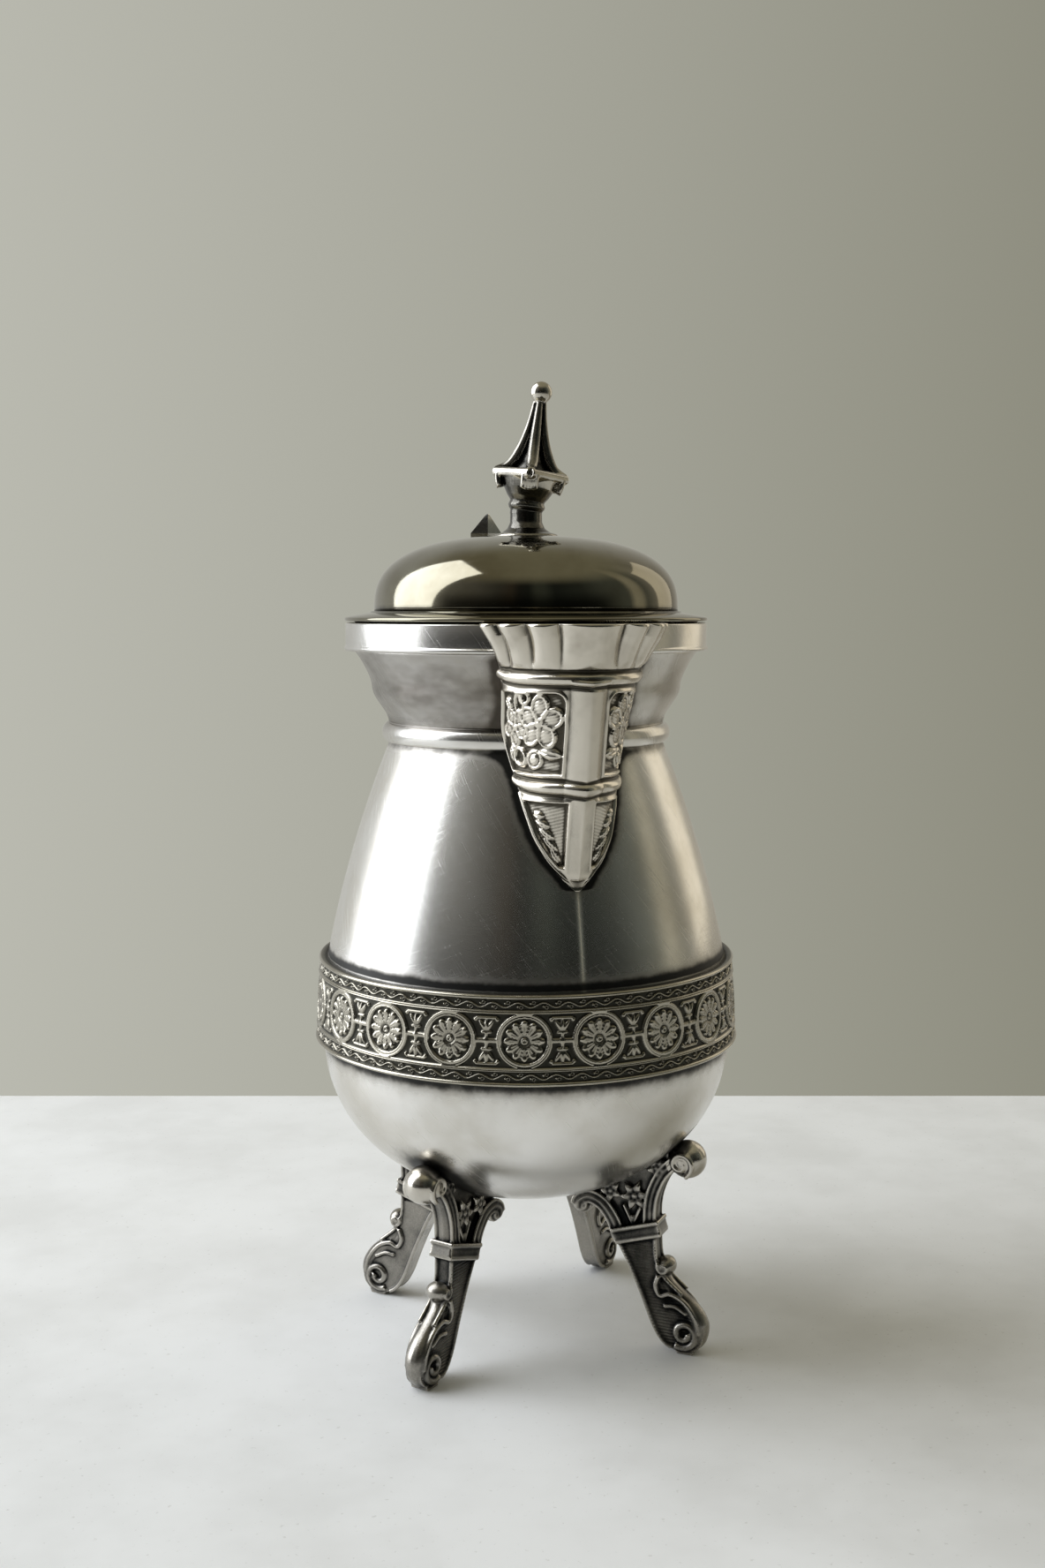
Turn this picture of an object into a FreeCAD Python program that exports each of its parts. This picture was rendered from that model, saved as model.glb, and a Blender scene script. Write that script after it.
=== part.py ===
"""Covered syrup pitcher in silver plate: footed round body, fluted spout, hinged lid with finial.

Millimetres. +Z is up, the spout points along -Y and the handle along +Y. Pieces are drawn about
the vessel's own axis, then moved so that the whole object is centred on the origin.
"""
import FreeCAD, Part
import math
import os

V = FreeCAD.Vector

# ---- heights of the vessel, from the table up ----
FOOT_HEIGHT = 29.4
BOWL_DEPTH = 31.8
BAND_HEIGHT = 16.4
CONE_HEIGHT = 41.8
NECK_HEIGHT = 4.2
COLLAR_HEIGHT = 13.8
RIM_HEIGHT = 5.4

# ---- radii of the vessel, outside ----
BOWL_R = 40.3
NECK_R = 27.0
BAND_TAPER = 0.9
CONE_BARREL = 0.8
CONE_FULLEST_RISE = 1.0
WAIST_STEP = 3.3
COLLAR_STEP = 6.6
RIM_STEP = 1.7
WALL = 1.1
BOWL_FULLNESS = 2.1

# ---- applied band ----
BAND_GROUND = 1.3
BEAD_PROUD = 0.6
EDGE_BEAD_H = 0.9
INNER_BEAD_H = 0.5
BORDER_H = 1.8

# ---- neck ring ----
RING_PROUD = 1.3
RING_MARGIN = 0.2

# ---- rim ----
RIM_WALL = 1.2
RIM_LEDGE = 1.6
LEDGE_T = 1.0
RIM_BEAD_PROUD = 0.3
RIM_BEAD_H = 0.9

# ---- spout ----
SPOUT_WALL = 1.2
SPOUT_FULLNESS = 1.8
SPOUT_BITE = 2.0
SPOUT_TURN = -1.4
SPOUT_DROP_SHARE = 0.584
LIP_HALF_WIDTH = 17.0
SPOUT_DEPTH = 14.0
LIP_PROUD_SHARE = 0.764
FOOT_SUNK_SHARE = -0.064
UPPER_MOULDING_DROP = 3.6
LOWER_MOULDING_SHARE = 0.197
MOULDING_H = 2.0
MOULDING_PROUD = 0.8
CHANNEL_FLOOR_SHARE = 0.59
CHANNEL_BACK = 9.0

# ---- lid ----
LID_GAP = 0.3
FLANGE_OVERHANG = 0.2
FLANGE_WIDTH = 5.8
FLANGE_EDGE_T = 0.7
FLANGE_T = 0.9
FLANGE_RISE = 1.9
DOME_STEP = 0.6
DOME_STEP_H = 0.25
DOME_HEIGHT = 14.6
DOME_FULLNESS = 2.65
DOME_WALL = 1.0
BEZEL_WALL = 1.0
BEZEL_LIFT = 1.1
BEZEL_CLEARANCE = 0.5

# ---- hinge ----
PIN_R = 0.9
PIN_CLEARANCE = 0.05
KNUCKLE_R = 2.2
KNUCKLE_GAP = 0.25
KNUCKLE_AIR = 0.4
LID_KNUCKLE_W = 5.4
BODY_KNUCKLE_W = 3.6
LEAF_T = 1.0
LEAF_GAP = 0.2
PIN_HEAD_R = 1.5
PIN_HEAD_T = 0.6

# ---- thumb piece ----
THUMB_W = 6.8
THUMB_T = 2.6
THUMB_TIP_ABOVE_RIM = 22.5
THUMB_SHOULDER_DROP = 4.0
THUMB_LEAN = 3.5
THUMB_GAP = 0.3

# ---- finial ----
STUD_R = 1.4
FINIAL_BASE_R = 6.0
FINIAL_STEM_R = 3.1
STEM_TOP_ABOVE_DOME = 5.0
FINIAL_RING_R = 3.7
FINIAL_RING_H = 2.0
CUP_R = 6.3
CUP_H = 3.4
EAVE_HALF_DIAGONAL = 7.6
EAVE_T = 1.0
SPIRE_H = 14.5
SPIRE_HALF_DIAGONAL = 6.0
BALL_R = 2.17
FINIAL_LEAN = 7.3
FINIAL_TURN = -16.5
NUT_ACROSS_FLATS = 5.0
NUT_H = 2.2
WASHER_R = 4.0
WASHER_T = 0.8

# ---- feet ----
FRONT_FOOT_AZ = 50.0
REAR_FOOT_AZ = 134.0
LEG_T = 4.4
FOOT_BITE = 2.7
VOLUTE_DROP = 4.3
CURL_DROP = 2.95
VOLUTE_R = 3.9
VOLUTE_W = 6.6
CURL_R = 2.4
CURL_W = 5.0
KNOB_R = 1.9
KNOB_W = 4.8
TOE_R = 3.7
TOE_W = 5.2
TOE_LIFT = 0.05
STRAP_W = 5.4
STRAP_LENGTH = 10.4
STRAP_H = 2.8
STRAP_TILT = 17.0

# ---- handle ----
HANDLE_STAND_OFF = 39.7
HANDLE_W = 8.0
HANDLE_T = 5.6
HANDLE_SLIM = 0.78
HANDLE_BITE = 3.0
HANDLE_TOP_SHARE = 0.43
HANDLE_FOOT_SHARE = 0.177

# ---- worked out from the above ----
BOWL_BOTTOM_Z = FOOT_HEIGHT
BAND_BOTTOM_Z = BOWL_BOTTOM_Z + BOWL_DEPTH
BAND_TOP_Z = BAND_BOTTOM_Z + BAND_HEIGHT
SEAM_Z = BAND_BOTTOM_Z + 0.5 * BAND_HEIGHT
NECK_Z = BAND_TOP_Z + CONE_HEIGHT
COLLAR_Z = NECK_Z + NECK_HEIGHT
RIM_Z = COLLAR_Z + COLLAR_HEIGHT
RIM_TOP_Z = RIM_Z + RIM_HEIGHT
LID_Z = RIM_TOP_Z + LID_GAP
DOME_Z = LID_Z + FLANGE_RISE
DOME_TOP_Z = DOME_Z + DOME_HEIGHT
SHOULDER_R = BOWL_R - BAND_TAPER
CONE_MID_R = 0.5 * (SHOULDER_R + NECK_R) + CONE_BARREL
CONE_MID_Z = 0.5 * (BAND_TOP_Z + NECK_Z) + CONE_FULLEST_RISE
COLLAR_WAIST_R = NECK_R + WAIST_STEP
COLLAR_TOP_R = NECK_R + COLLAR_STEP
RIM_R = COLLAR_TOP_R + RIM_STEP
FLANGE_R = RIM_R + FLANGE_OVERHANG
DOME_R = FLANGE_R - FLANGE_WIDTH
LIP_REACH = RIM_R + LIP_PROUD_SHARE * SPOUT_DEPTH
SPOUT_DROP = SPOUT_DROP_SHARE * CONE_HEIGHT
SPOUT_FOOT_Z = NECK_Z - SPOUT_DROP
LOWER_MOULDING_Z = NECK_Z - LOWER_MOULDING_SHARE * SPOUT_DROP
CHANNEL_FLOOR_Z = NECK_Z - CHANNEL_FLOOR_SHARE * SPOUT_DROP
UPPER_MOULDING_Z = RIM_Z - UPPER_MOULDING_DROP
HINGE_Y = FLANGE_R + KNUCKLE_R + KNUCKLE_AIR
HINGE_Z = LID_Z
HANDLE_REACH = BOWL_R + HANDLE_STAND_OFF
HANDLE_TOP_Z = COLLAR_Z + HANDLE_TOP_SHARE * COLLAR_HEIGHT
HANDLE_FOOT_Z = BAND_TOP_Z + HANDLE_FOOT_SHARE * CONE_HEIGHT
AXIS_Y = 0.5 * (LIP_REACH - HANDLE_REACH)


def edges_through(points):
    """One smooth curve through (r, z) points, drawn in the XZ plane."""
    curve = Part.BSplineCurve()
    curve.interpolate([V(r, 0, z) for r, z in points])
    return curve.toShape()


def line(a, b):
    return Part.makeLine(V(a[0], 0, a[1]), V(b[0], 0, b[1]))


def turned(edges):
    """A solid of revolution about the vessel axis from a closed outline of edges."""
    wire = Part.Wire(Part.sortEdges(edges)[0])
    return Part.Face(wire).revolve(V(0, 0, 0), V(0, 0, 1), 360)


def turned_polygon(points):
    """A solid of revolution from a closed polygon of (r, z) points."""
    return turned([line(a, b) for a, b in zip(points, points[1:] + points[:1])])


def superellipse(a, h, n, count=9):
    """Quarter outline from the axis, height h, to radius a, at height 0."""
    steps = [0.5 * math.pi * i / (count - 1) for i in range(count)]
    return [(a * math.sin(t) ** (2 / n), h * math.cos(t) ** (2 / n)) for t in steps]


def cylinder(r, h, at, along):
    return Part.makeCylinder(r, h, at, along)


# ---------------------------------------------------------------- vessel walls

def wall_r(z):
    """Outside radius of the straight stretch of wall behind the band."""
    return BOWL_R + (SHOULDER_R - BOWL_R) * (z - BAND_BOTTOM_Z) / BAND_HEIGHT


def bowl_curve(inset):
    """The bowl's outline, moved in by inset, from the axis out to the band."""
    outline = superellipse(BOWL_R - inset, BAND_BOTTOM_Z - BOWL_BOTTOM_Z - inset, BOWL_FULLNESS)
    return [(r, BAND_BOTTOM_Z - h) for r, h in outline]


def bowl_lower():
    outer = bowl_curve(0)
    inner = bowl_curve(WALL)
    rim_out = (wall_r(SEAM_Z), SEAM_Z)
    rim_in = (wall_r(SEAM_Z) - WALL, SEAM_Z)
    return turned([
        edges_through(outer),
        line(outer[-1], rim_out),
        line(rim_out, rim_in),
        line(rim_in, inner[-1]),
        edges_through(inner),
        line(inner[0], outer[0])])


def cone_arc(inset):
    """The barrelled cone from the band up to the neck."""
    arc = Part.Arc(V(SHOULDER_R - inset, 0, BAND_TOP_Z),
                   V(CONE_MID_R - inset, 0, CONE_MID_Z),
                   V(NECK_R - inset, 0, NECK_Z))
    return arc.toShape()


def body_upper_blank():
    foot_out = (wall_r(SEAM_Z), SEAM_Z)
    foot_in = (wall_r(SEAM_Z) - WALL, SEAM_Z)
    neck_out = (NECK_R, COLLAR_Z)
    neck_in = (NECK_R - WALL, COLLAR_Z)
    return turned([
        line(foot_out, (SHOULDER_R, BAND_TOP_Z)),
        cone_arc(0),
        line((NECK_R, NECK_Z), neck_out),
        line(neck_out, neck_in),
        line(neck_in, (NECK_R - WALL, NECK_Z)),
        cone_arc(WALL),
        line((SHOULDER_R - WALL, BAND_TOP_Z), foot_in),
        line(foot_in, foot_out)])


def collar_curve(inset):
    """Two coves with a rounded shoulder between them."""
    levels = [(NECK_R, 0), (NECK_R + 0.6, 0.12), (COLLAR_WAIST_R - 0.4, 0.38),
              (COLLAR_WAIST_R + 0.3, 0.60), (COLLAR_TOP_R - 1.6, 0.82), (COLLAR_TOP_R, 1.0)]
    return [(r - inset, COLLAR_Z + share * COLLAR_HEIGHT) for r, share in levels]


def collar_blank():
    outer = collar_curve(0)
    inner = collar_curve(WALL)
    return turned([
        edges_through(outer),
        line(outer[-1], inner[-1]),
        edges_through(inner),
        line(inner[0], outer[0])])


def rim_blank():
    """Upright rim with a bead at its lower edge and a ledge that sits on the collar."""
    inner = RIM_R - RIM_WALL
    ledge = COLLAR_TOP_R - RIM_LEDGE
    return turned_polygon([
        (ledge, RIM_Z), (RIM_R, RIM_Z), (RIM_R + RIM_BEAD_PROUD, RIM_Z + 0.45 * RIM_BEAD_H),
        (RIM_R, RIM_Z + RIM_BEAD_H), (RIM_R, RIM_TOP_Z), (inner, RIM_TOP_Z),
        (inner, RIM_Z + LEDGE_T), (ledge, RIM_Z + LEDGE_T)])


def vessel_core():
    """Everything inside the vessel's outer surface, used to fit other pieces to it."""
    bowl = bowl_curve(0)
    collar = collar_curve(0)
    return turned([
        edges_through(bowl),
        line(bowl[-1], (SHOULDER_R, BAND_TOP_Z)),
        cone_arc(0),
        line((NECK_R, NECK_Z), (NECK_R, COLLAR_Z)),
        edges_through(collar),
        line(collar[-1], (RIM_R, RIM_Z)),
        line((RIM_R, RIM_Z), (RIM_R, LID_Z + 1)),
        line((RIM_R, LID_Z + 1), (0, LID_Z + 1)),
        line((0, LID_Z + 1), bowl[0])])


def body_band():
    """Soldered strip around the seam, with beads, two narrow borders and a broad middle."""
    low = BAND_BOTTOM_Z
    levels = [0, EDGE_BEAD_H, EDGE_BEAD_H + BORDER_H, EDGE_BEAD_H + BORDER_H + INNER_BEAD_H]
    marks = levels + [BAND_HEIGHT - h for h in reversed(levels)]
    raised = [True, False, True, False, True, False, True]
    outline = [(wall_r(low), low)]
    for start, end, proud in zip(marks, marks[1:], raised):
        reach = BAND_GROUND + (BEAD_PROUD if proud else 0)
        outline.append((wall_r(low + start) + reach, low + start))
        outline.append((wall_r(low + end) + reach, low + end))
    outline.append((wall_r(BAND_TOP_Z), BAND_TOP_Z))
    return turned_polygon(outline)


def neck_ring_blank():
    middle = NECK_Z + 0.5 * NECK_HEIGHT
    half = 0.5 * NECK_HEIGHT - RING_MARGIN
    bulge = Part.Arc(V(NECK_R, 0, middle - half), V(NECK_R + RING_PROUD, 0, middle),
                     V(NECK_R, 0, middle + half)).toShape()
    return turned([bulge, line((NECK_R, middle + half), (NECK_R, middle - half))])


# ---------------------------------------------------------------- spout

def between(low, high, share):
    return low + share * (high - low)


def spout_levels():
    """(height, half width where it meets the vessel, reach of the nose from the axis).

    The reach is given as a share of the spout's greatest depth off the vessel behind it.
    """
    low, high = LOWER_MOULDING_Z, UPPER_MOULDING_Z
    shares = [
        (SPOUT_FOOT_Z, 0.05, FOOT_SUNK_SHARE),
        (between(SPOUT_FOOT_Z, low, 0.25), 0.25, 0.116),
        (between(SPOUT_FOOT_Z, low, 0.48), 0.385, 0.296),
        (between(SPOUT_FOOT_Z, low, 0.74), 0.475, 0.51),
        (low, 0.56, 0.75),
        (between(low, high, 0.49), 0.68, 1.0),
        (high, 0.745, 0.777),
        (between(high, RIM_TOP_Z, 0.58), 0.87, 0.657),
        (RIM_TOP_Z, 1.0, LIP_PROUD_SHARE)]
    return [(z, width * LIP_HALF_WIDTH, vessel_r(z) + out * SPOUT_DEPTH) for z, width, out in shares]


def cone_r(z):
    """Outside radius of the barrelled cone: the parabola through its foot, fullest point and neck."""
    z0, z1, z2 = BAND_TOP_Z, CONE_MID_Z, NECK_Z
    first = SHOULDER_R * (z - z1) * (z - z2) / ((z0 - z1) * (z0 - z2))
    second = CONE_MID_R * (z - z0) * (z - z2) / ((z1 - z0) * (z1 - z2))
    third = NECK_R * (z - z0) * (z - z1) / ((z2 - z0) * (z2 - z1))
    return first + second + third


def vessel_r(z):
    """Outside radius of the vessel where the spout and the handle meet it."""
    if z < NECK_Z:
        return cone_r(z)
    marks = [(NECK_Z, NECK_R), (COLLAR_Z, NECK_R), (between(COLLAR_Z, RIM_Z, 0.4), COLLAR_WAIST_R),
             (RIM_Z, COLLAR_TOP_R), (RIM_Z + 0.1, RIM_R)]
    for (z0, r0), (z1, r1) in zip(marks, marks[1:]):
        if z <= z1:
            return between(r0, r1, (z - z0) / (z1 - z0))
    return RIM_R


def spout_section(z, half_width, reach, grow, back):
    """Closed plan outline: two curved cheeks that meet in a nose, and a straight back."""
    w = half_width + grow
    root = math.sqrt(vessel_r(z) ** 2 - half_width ** 2)
    nose = reach + grow - root
    cheek = [(0.0, -back), (0.0, -0.4 * back)]
    n = SPOUT_FULLNESS
    for i in range(7):
        t = 0.5 * math.pi * i / 6
        cheek.append((1 - math.cos(t) ** (2 / n), nose * math.sin(t) ** (2 / n)))
    left = [V(-w * (1 - s), -root - y, z) for s, y in cheek]
    right = [V(-p.x, p.y, p.z) for p in reversed(left)]
    edges = []
    for side in (left, right):
        curve = Part.BSplineCurve()
        curve.interpolate(side)
        edges.append(curve.toShape())
    edges.append(Part.makeLine(right[-1], left[0]))
    return Part.Wire(edges)


def spout_mass(grow, low, high, back):
    """Loft of the spout between two heights, thicker or thinner by grow."""
    levels = spout_levels()
    inside = [level for level in levels if low < level[0] < high]
    ends = [spout_at(low), spout_at(high)]
    rows = [ends[0]] + inside + [ends[1]]
    return Part.makeLoft([spout_section(z, w, r, grow, back) for z, w, r in rows], True)


def spout_at(z):
    """The spout's half width and reach at any height, between the named levels."""
    levels = spout_levels()
    for (z0, w0, r0), (z1, w1, r1) in zip(levels, levels[1:]):
        if z <= z1:
            break
    share = (z - z0) / (z1 - z0)
    return (z, between(w0, w1, share), between(r0, r1, share))


def spout_moulding(z):
    """A rounded bead that runs round the spout at one height."""
    half = 0.5 * MOULDING_H
    rows = []
    steps = ((-1.0, 0.1), (-0.5, MOULDING_PROUD), (0.5, MOULDING_PROUD), (1.0, 0.1))
    for share, proud in steps:
        level = spout_at(z + share * half)
        rows.append(spout_section(level[0], level[1], level[2], proud, SPOUT_BITE))
    return Part.makeLoft(rows, True, True)


def spout_blank():
    """The spout before it is fitted to the vessel; it is soldered on SPOUT_TURN degrees off square."""
    mass = spout_mass(0, SPOUT_FOOT_Z, RIM_TOP_Z, SPOUT_BITE)
    for z in (LOWER_MOULDING_Z, UPPER_MOULDING_Z):
        mass = mass.fuse(spout_moulding(z))
    return mass


def channel():
    """The pouring way: inside of the spout and the opening through the vessel behind it."""
    levels = [level for level in spout_levels() if level[0] > CHANNEL_FLOOR_Z]
    rows = [spout_at(CHANNEL_FLOOR_Z)] + levels
    top = rows[-1]
    rows.append((top[0] + 3, top[1] + 1, top[2] + 1))
    return Part.makeLoft([spout_section(z, w, r, -SPOUT_WALL, CHANNEL_BACK) for z, w, r in rows], True)


# ---------------------------------------------------------------- lid

def bezel_r():
    return RIM_R - RIM_WALL - BEZEL_CLEARANCE


def lid_flange():
    """Thin sloping ring that rests on the rim and carries the dome."""
    under = [(FLANGE_R, LID_Z), (bezel_r() - BEZEL_WALL, LID_Z), (DOME_R - DOME_WALL, DOME_Z - FLANGE_T)]
    step_r = DOME_R + DOME_STEP
    over = [(DOME_R - DOME_WALL, DOME_Z), (step_r, DOME_Z), (step_r, DOME_Z - DOME_STEP_H),
            (FLANGE_R, LID_Z + FLANGE_EDGE_T)]
    return turned_polygon(under + over)


def lid_bezel():
    """Short sleeve under the lid that keeps it centred in the rim."""
    r = bezel_r()
    low = RIM_Z + LEDGE_T + BEZEL_LIFT
    return turned_polygon([(r - BEZEL_WALL, low), (r, low), (r, LID_Z), (r - BEZEL_WALL, LID_Z)])


def dome_curve(inset):
    outline = superellipse(DOME_R - inset, DOME_HEIGHT - inset, DOME_FULLNESS)
    return [(r, DOME_Z + h) for r, h in outline]


def dome_core():
    outer = dome_curve(0)
    return turned([edges_through(outer), line(outer[-1], (0, DOME_Z)), line((0, DOME_Z), outer[0])])


def lid_dome():
    outer = dome_curve(0)
    inner = dome_curve(DOME_WALL)
    shell = turned([
        edges_through(outer),
        line(outer[-1], inner[-1]),
        edges_through(inner),
        line(inner[0], outer[0])])
    return shell.cut(cylinder(STUD_R, 10, V(0, 0, DOME_TOP_Z - 5), V(0, 0, 1)))


def square(half_diagonal, z):
    """Square outline with its corners on the X and Y axes."""
    h = half_diagonal
    return Part.makePolygon([V(h, 0, z), V(0, h, z), V(-h, 0, z), V(0, -h, z), V(h, 0, z)])


def octagon(r, z):
    corners = [V(r * math.cos(math.pi * i / 4), r * math.sin(math.pi * i / 4), z) for i in range(9)]
    return Part.makePolygon(corners)


def finial():
    """Cast knob: flared foot and stem, then a ring, a faceted cup, a square eave, a spire and a ball.

    Everything above the stem leans, as a soft casting does after a knock.
    """
    stem_top = DOME_TOP_Z + STEM_TOP_ABOVE_DOME
    foot = edges_through([(FINIAL_BASE_R, DOME_TOP_Z - 0.3), (FINIAL_BASE_R - 1.6, DOME_TOP_Z + 0.5),
                          (FINIAL_STEM_R + 0.2, DOME_TOP_Z + 2.0), (FINIAL_STEM_R, stem_top)])
    low = DOME_TOP_Z - 1.2
    base = turned([foot,
                   line((FINIAL_STEM_R, stem_top), (0, stem_top)),
                   line((0, stem_top), (0, low)),
                   line((0, low), (FINIAL_BASE_R, low)),
                   line((FINIAL_BASE_R, low), (FINIAL_BASE_R, DOME_TOP_Z - 0.3))])
    base = base.cut(dome_core())
    stud_low = DOME_TOP_Z - DOME_WALL - WASHER_T - NUT_H - 1.2
    base = base.fuse(cylinder(STUD_R, stem_top - stud_low, V(0, 0, stud_low), V(0, 0, 1)))

    ring_top = stem_top + FINIAL_RING_H
    cup_top = ring_top + CUP_H
    eave_top = cup_top + EAVE_T
    ring = cylinder(FINIAL_RING_R, FINIAL_RING_H + 0.6, V(0, 0, stem_top - 0.6), V(0, 0, 1))
    cup = Part.makeLoft([octagon(FINIAL_RING_R, ring_top - 0.01), octagon(CUP_R, cup_top)], True, True)
    eave_rows = [square(EAVE_HALF_DIAGONAL, z) for z in (cup_top - 0.01, eave_top)]
    eave = Part.makeLoft(eave_rows, True, True)
    profile = [(0.0, 1.0), (0.22, 0.72), (0.45, 0.52), (0.72, 0.36), (1.0, 0.24)]
    rows = [square(SPIRE_HALF_DIAGONAL * share, eave_top - 0.01 + SPIRE_H * up) for up, share in profile]
    spire = Part.makeLoft(rows, True, True)
    ball_z = eave_top + SPIRE_H + 0.85 * BALL_R
    ball = Part.makeSphere(BALL_R, V(0, 0, ball_z))
    top = ring.fuse([cup, eave, spire, ball])
    top.rotate(V(0, 0, 0), V(0, 0, 1), FINIAL_TURN)
    lean_axis = V(-math.sin(math.radians(FINIAL_TURN)), math.cos(math.radians(FINIAL_TURN)), 0)
    top.rotate(V(0, 0, stem_top), lean_axis, FINIAL_LEAN)
    return base.fuse(top)


def washer_top():
    return DOME_TOP_Z - DOME_WALL


def finial_washer():
    disc = cylinder(WASHER_R, WASHER_T + 0.5, V(0, 0, washer_top() - WASHER_T), V(0, 0, 1))
    hole = cylinder(STUD_R, 6, V(0, 0, washer_top() - 3), V(0, 0, 1))
    return disc.cut(hole).common(inside_of_dome())


def inside_of_dome():
    inner = dome_curve(DOME_WALL)
    return turned([edges_through(inner), line(inner[-1], (0, DOME_Z)), line((0, DOME_Z), inner[0])])


def finial_nut():
    r = NUT_ACROSS_FLATS / math.sqrt(3)
    low = washer_top() - WASHER_T - NUT_H
    corners = [V(r * math.cos(math.pi * i / 3), r * math.sin(math.pi * i / 3), low) for i in range(7)]
    block = Part.Face(Part.makePolygon(corners)).extrude(V(0, 0, NUT_H))
    return block.cut(cylinder(STUD_R, NUT_H + 2, V(0, 0, low - 1), V(0, 0, 1)))


def flange_top_z(r):
    """Height of the flange's sloping upper face at radius r."""
    step_r = DOME_R + DOME_STEP
    share = (r - step_r) / (FLANGE_R - step_r)
    return between(DOME_Z - DOME_STEP_H, LID_Z + FLANGE_EDGE_T, share)


def thumb_piece():
    """Upright tapered lug with a ridged pyramid top, standing on the flange behind the dome."""
    tip_z = RIM_TOP_Z + THUMB_TIP_ABOVE_RIM
    shoulder_z = tip_z - THUMB_SHOULDER_DROP
    foot_y = DOME_R + DOME_STEP + THUMB_GAP + 0.5 * THUMB_T
    foot_z = flange_top_z(foot_y) - 0.8

    def row(z, half_w, half_t, y):
        return Part.makePolygon([V(-half_w, y, z), V(0, y - half_t, z), V(half_w, y, z),
                                 V(0, y + half_t, z), V(-half_w, y, z)])

    def y_at(z):
        return foot_y - THUMB_LEAN * ((z - foot_z) / (tip_z - foot_z)) ** 2

    waist_z = 0.5 * (foot_z + shoulder_z)
    rows = [row(foot_z, 0.62 * THUMB_W, 0.55 * THUMB_T, foot_y),
            row(waist_z, 0.42 * THUMB_W, 0.5 * THUMB_T, y_at(waist_z)),
            row(shoulder_z, 0.5 * THUMB_W, 0.5 * THUMB_T, y_at(shoulder_z)),
            row(tip_z, 0.3, 0.3, y_at(tip_z))]
    lug = Part.makeLoft(rows, True, True)
    return lug.cut(lid_flange()).cut(lid_dome())


def hinge_leaf_lid():
    """Middle knuckle with a tongue that lies on the flange, soldered down."""
    half = 0.5 * LID_KNUCKLE_W
    barrel = cylinder(KNUCKLE_R, LID_KNUCKLE_W, V(-half, HINGE_Y, HINGE_Z), V(1, 0, 0))
    front_y = DOME_R + DOME_STEP + LEAF_GAP
    top = flange_top_z(front_y) + LEAF_T
    outline = [(HINGE_Y, HINGE_Z + KNUCKLE_R), (HINGE_Y, HINGE_Z - 0.3), (FLANGE_R - 1.5, LID_Z + 0.2),
               (front_y, flange_top_z(front_y) - 0.6), (front_y, top),
               (FLANGE_R, LID_Z + FLANGE_EDGE_T + LEAF_T), (HINGE_Y, HINGE_Z + KNUCKLE_R)]
    side = Part.makePolygon([V(-half, y, z) for y, z in outline])
    tongue = Part.Face(side).extrude(V(LID_KNUCKLE_W, 0, 0))
    tongue = tongue.cut(lid_flange()).cut(lid_dome()).cut(thumb_piece())
    bore = cylinder(PIN_R + PIN_CLEARANCE, LID_KNUCKLE_W + 2, V(-half - 1, HINGE_Y, HINGE_Z), V(1, 0, 0))
    leaf = barrel.fuse(tongue).cut(bore)
    return max(leaf.Solids, key=lambda s: s.Volume)


def hinge_leaf_body():
    """Curved plate on the back of the rim with the two outer knuckles."""
    start = 0.5 * LID_KNUCKLE_W + KNUCKLE_GAP
    half = start + BODY_KNUCKLE_W
    low = RIM_Z + RIM_BEAD_H
    high = RIM_TOP_Z - 0.1
    plate = turned_polygon([(RIM_R, low), (RIM_R + LEAF_T, low), (RIM_R + LEAF_T, high), (RIM_R, high)])
    leaf = plate.common(Part.makeBox(2 * half, 20, 20, V(-half, RIM_R - 10, low - 1)))
    for side in (-1, 1):
        x = side * start if side > 0 else -half
        barrel = cylinder(KNUCKLE_R, BODY_KNUCKLE_W, V(x, HINGE_Y, HINGE_Z), V(1, 0, 0))
        web = Part.Face(Part.makePolygon([
            V(x, HINGE_Y, HINGE_Z - KNUCKLE_R), V(x, HINGE_Y - 0.7 * KNUCKLE_R, HINGE_Z - 0.55),
            V(x, RIM_R - 1.5, high), V(x, RIM_R - 1.5, low + 0.4), V(x, RIM_R + LEAF_T + 0.2, low + 0.4),
            V(x, HINGE_Y, HINGE_Z - KNUCKLE_R)])).extrude(V(BODY_KNUCKLE_W, 0, 0))
        leaf = leaf.fuse([barrel, web])
    leaf = leaf.cut(vessel_core())
    leaf = leaf.cut(cylinder(KNUCKLE_R + KNUCKLE_AIR, 2 * start, V(-start, HINGE_Y, HINGE_Z), V(1, 0, 0)))
    return leaf.cut(cylinder(PIN_R, 2 * half + 2, V(-half - 1, HINGE_Y, HINGE_Z), V(1, 0, 0)))


def hinge_pin():
    half = 0.5 * LID_KNUCKLE_W + KNUCKLE_GAP + BODY_KNUCKLE_W
    shank = cylinder(PIN_R, 2 * half, V(-half, HINGE_Y, HINGE_Z), V(1, 0, 0))
    heads = []
    for x in (-half - PIN_HEAD_T, half):
        heads.append(cylinder(PIN_HEAD_R, PIN_HEAD_T, V(x, HINGE_Y, HINGE_Z), V(1, 0, 0)))
    return shank.fuse(heads)


# ---------------------------------------------------------------- feet

def bowl_z(r):
    """Height of the bowl's outer surface at radius r."""
    share = min(r / BOWL_R, 1.0)
    return BAND_BOTTOM_Z - BOWL_DEPTH * (1 - share ** BOWL_FULLNESS) ** (1 / BOWL_FULLNESS)


def foot_points(percents):
    """Points of the foot pattern, given as percentages of the bowl's radius and of the foot's height."""
    return [(0.01 * r * BOWL_R, 0.01 * z * FOOT_HEIGHT) for r, z in percents]


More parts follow.
